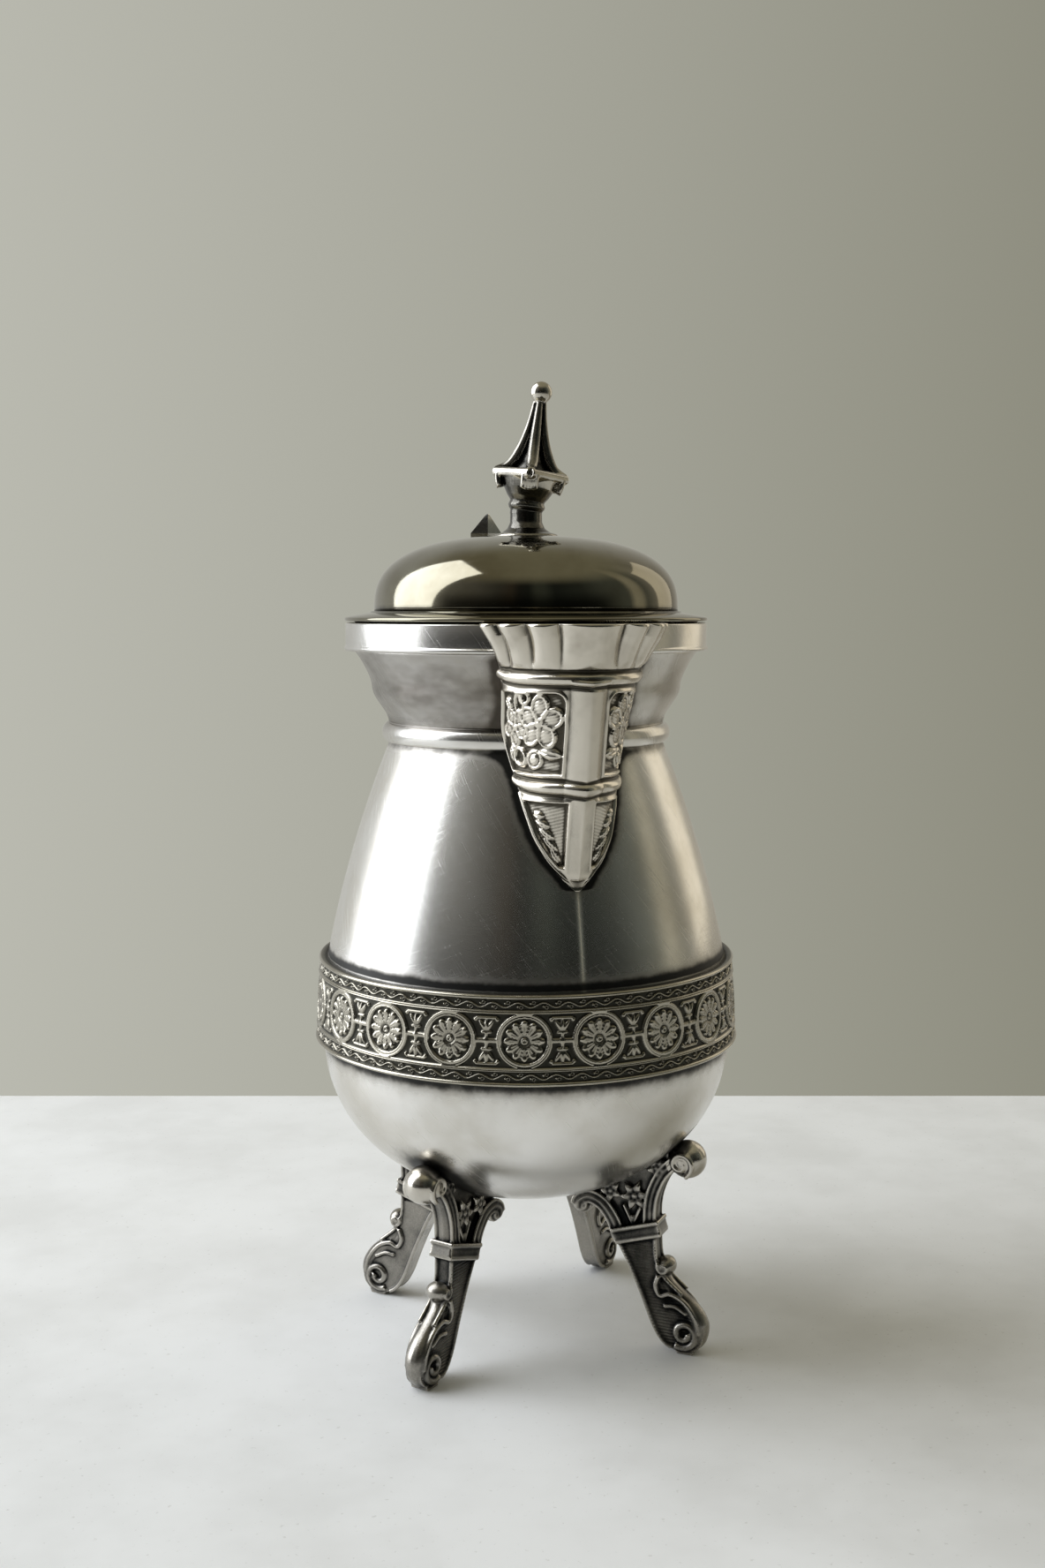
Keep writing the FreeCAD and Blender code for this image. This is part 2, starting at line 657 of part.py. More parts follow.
def foot():
    """Cast scroll foot, drawn in the plane of radius and height, thickness across it."""
    inner_edge = foot_points([(32.3, 86.7), (40.7, 89.1), (46.7, 83.0), (49.6, 73.5), (56.1, 57.1),
                              (62.8, 37.4), (69.2, 16.3), (74.7, 5.8), (81.9, 0.0)])
    toe_edge = foot_points([(90.8, 0.0), (96.0, 9.9), (97.0, 21.1), (92.8, 32.0), (85.4, 41.5),
                            (75.9, 52.4)])
    bracket_edge = foot_points([(71.2, 74.8), (70.7, 87.1), (71.5, 98.6), (74.4, 110.9), (79.4, 119.0)])
    volute_at, curl_at, knob_at, toe_at = foot_points([(82.6, 0), (32.3, 0), (74.9, 57.5), (87.3, 0)])
    strap_at = foot_points([(61.0, 78.9)])[0]
    outer_top = (0.844 * BOWL_R, bowl_z(0.844 * BOWL_R) + FOOT_BITE)
    inner_top = (0.273 * BOWL_R, bowl_z(0.273 * BOWL_R) + FOOT_BITE)
    leg = Part.Face(Part.Wire([
        edges_through(inner_edge),
        line(inner_edge[-1], toe_edge[0]),
        edges_through(toe_edge),
        line(toe_edge[-1], bracket_edge[0]),
        edges_through(bracket_edge),
        line(bracket_edge[-1], outer_top),
        line(outer_top, inner_top),
        line(inner_top, inner_edge[0])]))
    leg.translate(V(0, -0.5 * LEG_T, 0))
    body = leg.extrude(V(0, LEG_T, 0))

    def roll(r, z, radius, width):
        return cylinder(radius, width, V(r, -0.5 * width, z), V(0, 1, 0))

    strap = Part.makeBox(STRAP_LENGTH, STRAP_W, STRAP_H,
                         V(-0.5 * STRAP_LENGTH, -0.5 * STRAP_W, -0.5 * STRAP_H))
    strap.rotate(V(0, 0, 0), V(0, 1, 0), -STRAP_TILT)
    strap.translate(V(strap_at[0], 0, strap_at[1]))
    pieces = [
        roll(volute_at[0], bowl_z(volute_at[0]) - VOLUTE_DROP, VOLUTE_R, VOLUTE_W),
        roll(curl_at[0], bowl_z(curl_at[0]) - CURL_DROP, CURL_R, CURL_W),
        roll(knob_at[0], knob_at[1], KNOB_R, KNOB_W),
        roll(toe_at[0], TOE_R + TOE_LIFT, TOE_R, TOE_W),
        strap]
    solid = body.fuse(pieces)
    solid.rotate(V(0, 0, 0), V(0, 0, 1), -90)
    return solid.cut(vessel_core())


def foot_at(azimuth):
    shape = foot()
    shape.rotate(V(0, 0, 0), V(0, 0, 1), azimuth)
    return shape


# ---------------------------------------------------------------- handle

def handle():
    """Cast C handle of oval section, from the collar to the shoulder above the band."""
    reach = HANDLE_REACH - 0.5 * HANDLE_T
    top = HANDLE_TOP_Z
    foot_z = HANDLE_FOOT_Z
    tall = top - foot_z
    start = vessel_r(top) - HANDLE_BITE
    end = vessel_r(foot_z) - HANDLE_BITE
    path = [(start, top), (between(start, reach, 0.34), top + 0.09 * tall),
            (0.78 * reach, top + 0.112 * tall), (0.95 * reach, top - 0.09 * tall),
            (reach, foot_z + 0.6 * tall), (0.93 * reach, foot_z + 0.25 * tall),
            (0.76 * reach, foot_z + 0.045 * tall),
            (between(end, reach, 0.25), foot_z - 0.034 * tall), (end, foot_z)]
    curve = Part.BSplineCurve()
    curve.interpolate([V(0, y, z) for y, z in path])
    first, last = curve.FirstParameter, curve.LastParameter
    rows = []
    count = 11
    for i in range(count):
        share = i / (count - 1)
        u = first + (last - first) * share
        slim = between(HANDLE_SLIM, 1.0, math.sin(math.pi * share))
        at = curve.value(u)
        tangent = V(*curve.tangent(u)[0])
        ring = Part.Ellipse(V(0, 0, 0), 0.5 * HANDLE_W * slim, 0.5 * HANDLE_T * slim).toShape()
        turn = FreeCAD.Rotation(V(1, 0, 0), V(0, 1, 0), tangent, "ZXY")
        ring.Placement = FreeCAD.Placement(at, turn)
        rows.append(Part.Wire(ring))
    return Part.makeLoft(rows, True).cut(vessel_core())


# ---------------------------------------------------------------- assembly

def build():
    way = channel()
    spout_outer = spout_blank()
    for shape in (way, spout_outer):
        shape.rotate(V(0, 0, 0), V(0, 0, 1), SPOUT_TURN)
    spout = spout_outer.cut(vessel_core()).cut(way)
    pieces = {
        "bowl_lower": bowl_lower(),
        "body_upper": body_upper_blank().cut(way),
        "body_band": body_band(),
        "neck_ring": neck_ring_blank().cut(spout_outer),
        "collar": collar_blank().cut(way),
        "rim_band": rim_blank().cut(way).cut(spout_outer),
        "spout": spout,
        "handle": handle(),
        "foot_front_left": foot_at(-FRONT_FOOT_AZ),
        "foot_front_right": foot_at(FRONT_FOOT_AZ),
        "foot_rear_left": foot_at(-REAR_FOOT_AZ),
        "foot_rear_right": foot_at(REAR_FOOT_AZ),
        "hinge_leaf_body": hinge_leaf_body(),
        "hinge_pin": hinge_pin(),
        "lid_flange": lid_flange(),
        "lid_bezel": lid_bezel(),
        "lid_dome": lid_dome(),
        "finial": finial(),
        "finial_washer": finial_washer(),
        "finial_nut": finial_nut(),
        "thumb_piece": thumb_piece(),
        "hinge_leaf_lid": hinge_leaf_lid(),
    }
    os.makedirs("parts", exist_ok=True)
    for name, shape in pieces.items():
        shape.translate(V(0, AXIS_Y, 0))
        shape.exportStep("parts/" + name + ".step")
        print(name, len(shape.Solids), shape.isValid(), round(shape.Volume, 1), shape.BoundBox)


build()
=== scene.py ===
"""A covered syrup pitcher in silver plate, laid out as a Blender add-on and run as a script.

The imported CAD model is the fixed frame. Sizes inside the mesh code are millimetres, measured from the
vessel's own axis, and put() turns them into the frame's metres. Azimuth 0 is the spout's side (-Y) and
grows towards +X.
"""
import math

import bmesh
import bpy
import numpy as np
from mathutils import Matrix, Vector


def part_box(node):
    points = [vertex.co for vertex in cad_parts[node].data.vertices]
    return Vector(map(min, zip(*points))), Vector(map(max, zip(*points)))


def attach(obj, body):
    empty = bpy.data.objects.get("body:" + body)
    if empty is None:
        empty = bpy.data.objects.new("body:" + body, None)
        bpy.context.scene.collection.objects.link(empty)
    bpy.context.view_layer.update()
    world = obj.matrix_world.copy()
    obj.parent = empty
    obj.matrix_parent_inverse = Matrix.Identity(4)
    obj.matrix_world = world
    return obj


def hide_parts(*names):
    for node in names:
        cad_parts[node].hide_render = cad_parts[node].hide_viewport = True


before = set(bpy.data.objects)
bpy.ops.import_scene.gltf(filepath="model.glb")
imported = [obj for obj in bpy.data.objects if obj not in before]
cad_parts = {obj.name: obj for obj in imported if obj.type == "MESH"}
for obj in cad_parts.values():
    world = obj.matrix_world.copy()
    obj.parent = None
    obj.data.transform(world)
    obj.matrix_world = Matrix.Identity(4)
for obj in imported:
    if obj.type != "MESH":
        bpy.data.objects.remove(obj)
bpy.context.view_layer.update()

bl_info = {
    "name": "Silver syrup pitcher",
    "version": (1, 0, 0),
    "blender": (4, 5, 0),
    "location": "3D View > Sidebar > Pitcher",
    "description": "Builds a footed silver-plated pitcher with a hinged lid around its packed CAD model",
    "category": "Object",
}

MM = 0.001


def box_mm(node):
    """A CAD node's lowest and highest corners in millimetres."""
    low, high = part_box(node)
    return np.array(low) / MM, np.array(high) / MM


BAND_LOW, BAND_HIGH = box_mm("body_band")
BOWL_LOW, BOWL_HIGH = box_mm("bowl_lower")
COLLAR_LOW, COLLAR_HIGH = box_mm("collar")
RIM_LOW, RIM_HIGH = box_mm("rim_band")
FLANGE_LOW, FLANGE_HIGH = box_mm("lid_flange")
DOME_LOW, DOME_HIGH = box_mm("lid_dome")
BEZEL_LOW, BEZEL_HIGH = box_mm("lid_bezel")
AXIS = np.array([0.5 * (BAND_LOW[0] + BAND_HIGH[0]), 0.5 * (BAND_LOW[1] + BAND_HIGH[1])])


def half_width(low, high):
    """Half the size of a box along X."""
    return 0.5 * (high[0] - low[0])


# ---- levels and radii read from the frame, in millimetres ----
BOWL_BOTTOM = BOWL_LOW[2]
SEAM = BOWL_HIGH[2]
BAND_BOTTOM = BAND_LOW[2]
BAND_TOP = BAND_HIGH[2]
BAND_HEIGHT = BAND_TOP - BAND_BOTTOM
COLLAR_FOOT = COLLAR_LOW[2]
RIM_FOOT = RIM_LOW[2]
RIM_TOP = RIM_HIGH[2]
LID_FOOT = FLANGE_LOW[2]
DOME_FOOT = DOME_LOW[2]
DOME_TOP = DOME_HIGH[2]
BOWL_R = half_width(BOWL_LOW, BOWL_HIGH)
COLLAR_R = half_width(COLLAR_LOW, COLLAR_HIGH)
FLANGE_R = half_width(FLANGE_LOW, FLANGE_HIGH)
DOME_R = half_width(DOME_LOW, DOME_HIGH)
BEZEL_R = half_width(BEZEL_LOW, BEZEL_HIGH)
RIM_R = FLANGE_R - 0.2
BOWL_FULLNESS = 2.1
SHOULDER_R = BOWL_R - 0.9
CONE_MID_R = BOWL_R - 6.3
NECK_R = BOWL_R - 13.3
NECK_FOOT = COLLAR_FOOT - 4.2
NECK_RING_H = 3.8
NECK_RING_PROUD = 1.3
SPOUT_FOOT = COLLAR_FOOT - 28.6
LOWER_MOULDING = COLLAR_FOOT - 9.7
UPPER_MOULDING = COLLAR_FOOT + 9.7
CHANNEL_FLOOR = COLLAR_FOOT - 18.8
FRONT_FOOT_AZ = 50.0
REAR_FOOT_AZ = 134.0
SPOUT_TURN = math.radians(-1.4)


# ------------------------------------------------------------------ settings

def linear(hex_colour):
    """An sRGB hex colour as linear red, green, blue and alpha."""
    parts = [int(hex_colour[i:i + 2], 16) / 255 for i in (1, 3, 5)]
    return tuple(c / 12.92 if c <= 0.04045 else ((c + 0.055) / 1.055) ** 2.4 for c in parts) + (1.0,)


class VesselSettings(bpy.types.PropertyGroup):
    wall: bpy.props.FloatProperty(
        name="Wall", description="Thickness of the raised metal wall",
        default=1.1 * MM, min=0.4 * MM, max=2 * MM, unit="LENGTH", subtype="DISTANCE", precision=5)
    segments: bpy.props.IntProperty(
        name="Segments", description="Steps round each turned piece", default=240, min=64, max=400)
    clean_silver: bpy.props.FloatVectorProperty(
        name="Clean silver", description="Colour of the plate where it is wiped",
        default=linear("#e7e5e1")[:3], min=0, max=1, size=3, subtype="COLOR")


class BandSettings(bpy.types.PropertyGroup):
    rosettes: bpy.props.IntProperty(
        name="Rosettes", description="How many rosettes go round the band", default=19, min=8, max=40)
    ground: bpy.props.FloatProperty(
        name="Ground", description="How far the band's ground stands off the wall",
        default=1.15 * MM, min=0.3 * MM, max=3 * MM, unit="LENGTH", subtype="DISTANCE", precision=5)
    relief: bpy.props.FloatProperty(
        name="Relief", description="How far the ornament stands off its ground",
        default=0.55 * MM, min=0.1 * MM, max=2 * MM, unit="LENGTH", subtype="DISTANCE", precision=5)
    turn: bpy.props.FloatProperty(
        name="Turn", description="Azimuth of one rosette from the spout",
        default=math.radians(-17.0), unit="ROTATION", subtype="ANGLE")


class SpoutSettings(bpy.types.PropertyGroup):
    wall: bpy.props.FloatProperty(
        name="Wall", description="Thickness of the cast spout",
        default=1.2 * MM, min=0.5 * MM, max=3 * MM, unit="LENGTH", subtype="DISTANCE", precision=5)
    panel_depth: bpy.props.FloatProperty(
        name="Panel depth", description="How deep the flower panels are sunk",
        default=0.6 * MM, min=0, max=1 * MM, unit="LENGTH", subtype="DISTANCE", precision=5)
    flute_depth: bpy.props.FloatProperty(
        name="Flute depth", description="Depth of the grooves between the lip's flutes",
        default=1.8 * MM, min=0, max=3 * MM, unit="LENGTH", subtype="DISTANCE", precision=5)


class CastingSettings(bpy.types.PropertyGroup):
    voxel: bpy.props.FloatProperty(
        name="Casting grain", description="Smallest step of the cast pieces' surface",
        default=0.19 * MM, min=0.1 * MM, max=1 * MM, unit="LENGTH", subtype="DISTANCE", precision=5)
    lean: bpy.props.FloatProperty(
        name="Finial lean", description="How far the finial's top leans to one side",
        default=math.radians(7.3), unit="ROTATION", subtype="ANGLE")
    finial_turn: bpy.props.FloatProperty(
        name="Finial turn", description="How far the square finial is turned on the lid",
        default=math.radians(-16.5), unit="ROTATION", subtype="ANGLE")


class StageSettings(bpy.types.PropertyGroup):
    window_power: bpy.props.FloatProperty(
        name="Window", description="Power of the large soft light on the left",
        default=15.5, min=0, unit="POWER")
    table_colour: bpy.props.FloatVectorProperty(
        name="Table", description="Colour of the pale table top",
        default=linear("#eceded")[:3], min=0, max=1, size=3, subtype="COLOR")


class PitcherSettings(bpy.types.PropertyGroup):
    vessel: bpy.props.PointerProperty(type=VesselSettings)
    band: bpy.props.PointerProperty(type=BandSettings)
    spout: bpy.props.PointerProperty(type=SpoutSettings)
    casting: bpy.props.PointerProperty(type=CastingSettings)
    stage: bpy.props.PointerProperty(type=StageSettings)


# ------------------------------------------------------------------ mesh helpers

def put(points):
    """Millimetres about the vessel axis to metres in the frame."""
    out = np.array(points, dtype=float)
    out[:, 0] += AXIS[0]
    out[:, 1] += AXIS[1]
    return out * MM


def polar(r, azimuth, z):
    """Points from radius, azimuth in radians and height."""
    return np.stack([r * np.sin(azimuth), -r * np.cos(azimuth), z], axis=-1)


def grid_faces(rows, columns, close_rows=False, close_columns=False):
    """Quads of a grid stored row by row; closing joins the last row or column to the first."""
    j = np.arange(rows if close_rows else rows - 1)
    i = np.arange(columns if close_columns else columns - 1)
    jj, ii = np.meshgrid(j, i, indexing="ij")
    nj, ni = (jj + 1) % rows, (ii + 1) % columns
    quads = np.stack([jj * columns + ii, jj * columns + ni, nj * columns + ni, nj * columns + ii], axis=-1)
    return quads.reshape(-1, 4)


def side_caps(rows, columns):
    """Closes both sides of a strip whose section is a loop, with rungs between its outer and inner line."""
    faces = []
    for k in range((rows - 1) // 2):
        rung = list(dict.fromkeys((k, k + 1, rows - 2 - k, rows - 1 - k)))
        for column in (0, columns - 1):
            corner = [row * columns + column for row in rung]
            faces.append(corner if column else corner[::-1])
    return faces


def new_mesh(name, points, faces, attributes=None):
    """A mesh in metres from points already placed, with point attributes."""
    mesh = bpy.data.meshes.new(name)
    mesh.from_pydata(points.tolist(), [], [list(map(int, f)) for f in faces])
    for key, values in (attributes or {}).items():
        layer = mesh.attributes.new(key, "FLOAT", "POINT")
        layer.data.foreach_set("value", np.asarray(values, dtype=np.float32).ravel())
    mesh.polygons.foreach_set("use_smooth", [True] * len(mesh.polygons))
    mesh.update()
    return mesh


def new_object(name, mesh):
    """A linked object that holds a mesh."""
    thing = bpy.data.objects.new(name, mesh)
    bpy.context.scene.collection.objects.link(thing)
    return thing


def weld(mesh, distance=1e-6):
    """Joins doubled points and points every face outwards."""
    work = bmesh.new()
    work.from_mesh(mesh)
    bmesh.ops.remove_doubles(work, verts=work.verts, dist=distance)
    bmesh.ops.recalc_face_normals(work, faces=work.faces)
    work.to_mesh(mesh)
    work.free()
    mesh.polygons.foreach_set("use_smooth", [True] * len(mesh.polygons))
    mesh.update()


def through(points, count):
    """A smooth line of count points through a few given ones (Catmull-Rom)."""
    given = np.array(points, dtype=float)
    ends = np.vstack([2 * given[0] - given[1], given, 2 * given[-1] - given[-2]])
    place = np.linspace(0, len(given) - 1, count)
    k = np.minimum(place.astype(int), len(given) - 2)
    t = (place - k)[:, None]
    a, b, c, d = ends[k], ends[k + 1], ends[k + 2], ends[k + 3]
    bend = (2 * a - 5 * b + 4 * c - d) * t ** 2
    return 0.5 * (2 * b + (c - a) * t + bend + (3 * b - a - 3 * c + d) * t ** 3)


def superellipse(a, h, n, count):
    """Quarter outline from the axis at height h down to radius a at height 0."""
    t = np.linspace(0, 0.5 * math.pi, count)
    return np.stack([a * np.sin(t) ** (2 / n), h * np.cos(t) ** (2 / n)], axis=1)


def eased(values, half):
    """Running mean that keeps its slope at both ends."""
    before = values[0] + (values[1] - values[0]) * np.arange(-half, 0)
    after = values[-1] + (values[-1] - values[-2]) * np.arange(1, half + 1)
    kernel = np.ones(2 * half + 1) / (2 * half + 1)
    return np.convolve(np.concatenate([before, values, after]), kernel, "valid")


def smooth_mask(x, low, high):
    """Rises smoothly from 0 at low to 1 at high."""
    t = np.clip((x - low) / (high - low), 0, 1)
    return t * t * (3 - 2 * t)


def round_ridge(distance, half):
    """Height 0 to 1 of a half-round ridge at some distance from its middle line."""
    return np.sqrt(np.clip(1 - (distance / half) ** 2, 0, 1))


def bell(distance, width):
    """Bell curve: 1 at no distance, about a third at one width."""
    return np.exp(-(distance / width) ** 2)


def rubbed(mesh, rounds, span):
    """Stores how far each point stands above its smoothed surroundings, 0 hollow to 1 proud."""
    count = len(mesh.vertices)
    co = np.empty(count * 3)
    mesh.vertices.foreach_get("co", co)
    co = co.reshape(-1, 3)
    normal = np.empty(count * 3)
    mesh.vertices.foreach_get("normal", normal)
    normal = normal.reshape(-1, 3)
    edge = np.empty(len(mesh.edges) * 2, dtype=int)
    mesh.edges.foreach_get("vertices", edge)
    a, b = edge.reshape(-1, 2).T
    degree = np.maximum(np.bincount(a, minlength=count) + np.bincount(b, minlength=count), 1)
    smooth = co.copy()
    for _ in range(rounds):
        total = np.stack([np.bincount(a, smooth[b, k], count) + np.bincount(b, smooth[a, k], count)
                          for k in range(3)], axis=1)
        smooth = 0.4 * smooth + 0.6 * total / degree[:, None]
    proud = np.einsum("ij,ij->i", co - smooth, normal) / (span * MM)
    store(mesh, "rub_and_sheen", np.clip(0.5 + 0.5 * proud, 0, 1))


def point_data(mesh):
    """Points in millimetres and their normals."""
    co, normal = np.empty(len(mesh.vertices) * 3), np.empty(len(mesh.vertices) * 3)
    mesh.vertices.foreach_get("co", co)
    mesh.vertices.foreach_get("normal", normal)
    return co.reshape(-1, 3) / MM, normal.reshape(-1, 3)


def store(mesh, name, values):
    """Writes one number per point, making the attribute where it is missing."""
    layer = mesh.attributes.get(name) or mesh.attributes.new(name, "FLOAT", "POINT")
    layer.data.foreach_set("value", np.asarray(values, dtype=np.float32))


def wiped_and_lit(mesh, share, level):
    """Moves each point's rub and sheen value towards a level by a share: wear where cloths reach,
    and on the feet also a painted highlight and a painted reflection.
    """
    rub_and_sheen = np.empty(len(mesh.vertices))
    mesh.attributes["rub_and_sheen"].data.foreach_get("value", rub_and_sheen)
    store(mesh, "rub_and_sheen", rub_and_sheen + np.clip(share, 0, 1) * (level - rub_and_sheen))


def applied(thing):
    """The object's mesh with its modifiers made real and removed."""
    made = bpy.data.meshes.new_from_object(thing.evaluated_get(bpy.context.evaluated_depsgraph_get()))
    thing.modifiers.clear()
    thing.data = made
    return made


# ------------------------------------------------------------------ materials

SMOOTH = {"interpolation_type": "SMOOTHSTEP"}


def add(tree, kind, inputs=None, **settings):
    """Adds one node with its settings; inputs are values, or nodes or sockets to link from."""
    node = tree.nodes.new(kind)
    for key, value in settings.items():
        setattr(node, key, value)
    for key, value in (inputs or {}).items():
        if isinstance(value, bpy.types.Node):
            value = value.outputs[0]
        if isinstance(value, bpy.types.NodeSocket):
            tree.links.new(value, node.inputs[key])
        else:
            node.inputs[key].default_value = value
    return node


def empty_material(name):
    """A new material with an empty node tree."""
    material = bpy.data.materials.new(name)
    material.use_nodes = True
    material.node_tree.nodes.clear()
    return material


def about_axis(tree):
    """Object coordinates moved so that the vessel axis is x = y = 0."""
    place = add(tree, "ShaderNodeTexCoord").outputs["Object"]
    shift = (-AXIS[0] * MM, -AXIS[1] * MM, 0)
    return add(tree, "ShaderNodeMapping", {0: place, 1: shift}).outputs[0]


def turning_lines(tree, place, spacing_mm):
    """Rings left by polishing on a lathe: noise that depends only on radius and height."""
    xyz = add(tree, "ShaderNodeSeparateXYZ", {0: place}).outputs
    x2 = add(tree, "ShaderNodeMath", {0: xyz[0], 1: xyz[0]}, operation="MULTIPLY")
    square = add(tree, "ShaderNodeMath", {0: xyz[1], 1: xyz[1], 2: x2}, operation="MULTIPLY_ADD")
    radius = add(tree, "ShaderNodeMath", {0: square}, operation="SQRT")
    flat = add(tree, "ShaderNodeCombineXYZ", {0: radius, 2: xyz[2]})
    return add(tree, "ShaderNodeTexNoise", {
        "Vector": flat, "Scale": 1 / (spacing_mm * MM), "Detail": 2.0, "Roughness": 0.6})


def unrolled(tree, place):
    """The vessel's surface laid flat: distance round it and height."""
    xyz = add(tree, "ShaderNodeSeparateXYZ", {0: place}).outputs
    ahead = add(tree, "ShaderNodeMath", {0: xyz[1], 1: -1.0}, operation="MULTIPLY")
    angle = add(tree, "ShaderNodeMath", {0: xyz[0], 1: ahead}, operation="ARCTAN2")
    around = add(tree, "ShaderNodeMath", {0: angle, 1: BOWL_R * MM}, operation="MULTIPLY")
    return add(tree, "ShaderNodeCombineXYZ", {0: around, 1: xyz[2]})


def scratches(tree, flat, angle, spacing_mm, length_mm):
    """Sparse hairline marks in one direction of a flat layout."""
    turned = add(tree, "ShaderNodeMapping", {0: flat, 2: (0, 0, angle)})
    stretch = (1 / (length_mm * MM), 1 / (spacing_mm * MM), 1.0)
    stretched = add(tree, "ShaderNodeVectorMath", {0: turned, 1: stretch}, operation="MULTIPLY")
    lines = add(tree, "ShaderNodeTexNoise", {
        "Vector": stretched, "Scale": 1.0, "Detail": 2.0, "Roughness": 0.55})
    return add(tree, "ShaderNodeMapRange", {0: lines, 1: 0.58, 2: 0.72}, **SMOOTH)


def ragged_tarnish(tree, place, scale, swing):
    """The mesh's own tarnish, with a ragged edge."""
    mark = add(tree, "ShaderNodeAttribute", attribute_name="tarnish").outputs["Fac"]
    ragged = add(tree, "ShaderNodeTexNoise", {
        "Vector": place, "Scale": scale, "Detail": 5.0, "Roughness": 0.65})
    centred = add(tree, "ShaderNodeMath", {0: ragged, 1: 0.5}, operation="SUBTRACT")
    amount = add(tree, "ShaderNodeMath", {0: centred, 1: swing}, operation="MULTIPLY")
    return add(tree, "ShaderNodeMath", {0: mark, 1: amount}, operation="ADD")


def finish_metal(tree, colour, roughness, bump_height, bump_mm, anisotropic=0.0):
    """Ends a material as bare metal with a fine bump."""
    bump = add(tree, "ShaderNodeBump", {"Height": bump_height, "Strength": 1.0, "Distance": bump_mm * MM})
    shader = add(tree, "ShaderNodeBsdfPrincipled", {
        "Base Color": colour, "Metallic": 1.0, "Roughness": roughness, "Normal": bump.outputs[0],
        "Anisotropic": anisotropic})
    add(tree, "ShaderNodeOutputMaterial", {0: shader.outputs[0]})


def satin_silver_plate():
    """Silver plate buffed on a lathe and long handled.

    The eye sees a soft mirror with faint rings and hairlines, black tarnish beside the solder joints and
    a brown film on the collar, where polishing cloths seldom reach.
    """
    material = empty_material("satin_silver_plate")
    tree = material.node_tree
    place = about_axis(tree)
    xyz = add(tree, "ShaderNodeSeparateXYZ", {0: place}).outputs

    # Cloudy plate, with a grey halo round each black patch of tarnish
    clouds = add(tree, "ShaderNodeTexNoise", {
        "Vector": place, "Scale": 55.0, "Detail": 4.0, "Roughness": 0.6})
    cloudy = add(tree, "ShaderNodeMapRange", {0: clouds, 1: 0.35, 2: 0.75, 4: 0.5}, **SMOOTH)
    edge = ragged_tarnish(tree, place, 260.0, 0.55)
    soft = add(tree, "ShaderNodeMapRange", {0: edge, 1: 0.12, 2: 0.95}, **SMOOTH)
    halo = add(tree, "ShaderNodeMath", {0: soft, 1: 0.75}, operation="MULTIPLY")
    patch = add(tree, "ShaderNodeMapRange", {0: edge, 1: 0.55, 2: 1.0, 4: 0.92}, **SMOOTH)

    # Brown film that covers the collar, less on the rim and towards +X
    rising = add(tree, "ShaderNodeMapRange", {
        0: xyz[2], 1: NECK_FOOT * MM, 2: (COLLAR_FOOT + 1.5) * MM}, **SMOOTH)
    under_rim = add(tree, "ShaderNodeMapRange", {
        0: xyz[2], 1: (RIM_FOOT - 0.6) * MM, 2: (RIM_FOOT + 0.4) * MM, 3: 1.0, 4: 0.35}, **SMOOTH)
    sideways = add(tree, "ShaderNodeMapRange", {
        0: xyz[0], 1: -16 * MM, 2: 12 * MM, 3: 1.0, 4: 0.32}, **SMOOTH)
    streaked = add(tree, "ShaderNodeVectorMath", {0: place, 1: (1, 1, 2.2)}, operation="MULTIPLY")
    patches = add(tree, "ShaderNodeTexNoise", {
        "Vector": streaked, "Scale": 75.0, "Detail": 3.0, "Roughness": 0.55})
    patches = add(tree, "ShaderNodeMapRange", {0: patches, 1: 0.35, 2: 0.7, 3: 0.7, 4: 1.1}, **SMOOTH)
    sideways = add(tree, "ShaderNodeMath", {0: sideways, 1: patches}, operation="MULTIPLY")
    film = add(tree, "ShaderNodeMath", {0: rising, 1: under_rim}, operation="MULTIPLY")
    for factor in (sideways, 0.78):
        film = add(tree, "ShaderNodeMath", {0: film, 1: factor}, operation="MULTIPLY")

    colour = tuple(bpy.context.scene.pitcher.vessel.clean_silver) + (1.0,)
    for share, tint in ((cloudy, "#b9b2a2"), (halo, "#6d675c"), (patch, "#17191b"), (film, "#575047")):
        mixed = add(tree, "ShaderNodeMix", {0: share, 6: colour, 7: linear(tint)}, data_type="RGBA")
        colour = mixed.outputs[2]

    # Hairlines in two directions over the lathe's rings
    lines = turning_lines(tree, place, 0.35)
    flat = unrolled(tree, place)
    fine = scratches(tree, flat, 0.85, 0.22, 11.0)
    other = scratches(tree, flat, -0.35, 0.25, 8.0)
    marks = add(tree, "ShaderNodeMath", {0: other, 1: 0.7}, operation="MULTIPLY")
    marks = add(tree, "ShaderNodeMath", {0: fine, 1: marks}, operation="ADD")
    rough = 0.17
    for share, amount in ((clouds, 0.10), (soft, 0.20), (marks, 0.06)):
        rough = add(tree, "ShaderNodeMath", {0: share, 1: amount, 2: rough}, operation="MULTIPLY_ADD")
    height = add(tree, "ShaderNodeMath", {0: lines, 1: 0.55}, operation="MULTIPLY")
    height = add(tree, "ShaderNodeMath", {0: marks, 1: -0.35, 2: height}, operation="MULTIPLY_ADD")
    finish_metal(tree, colour, rough, height, 0.010, 0.35)
    return material


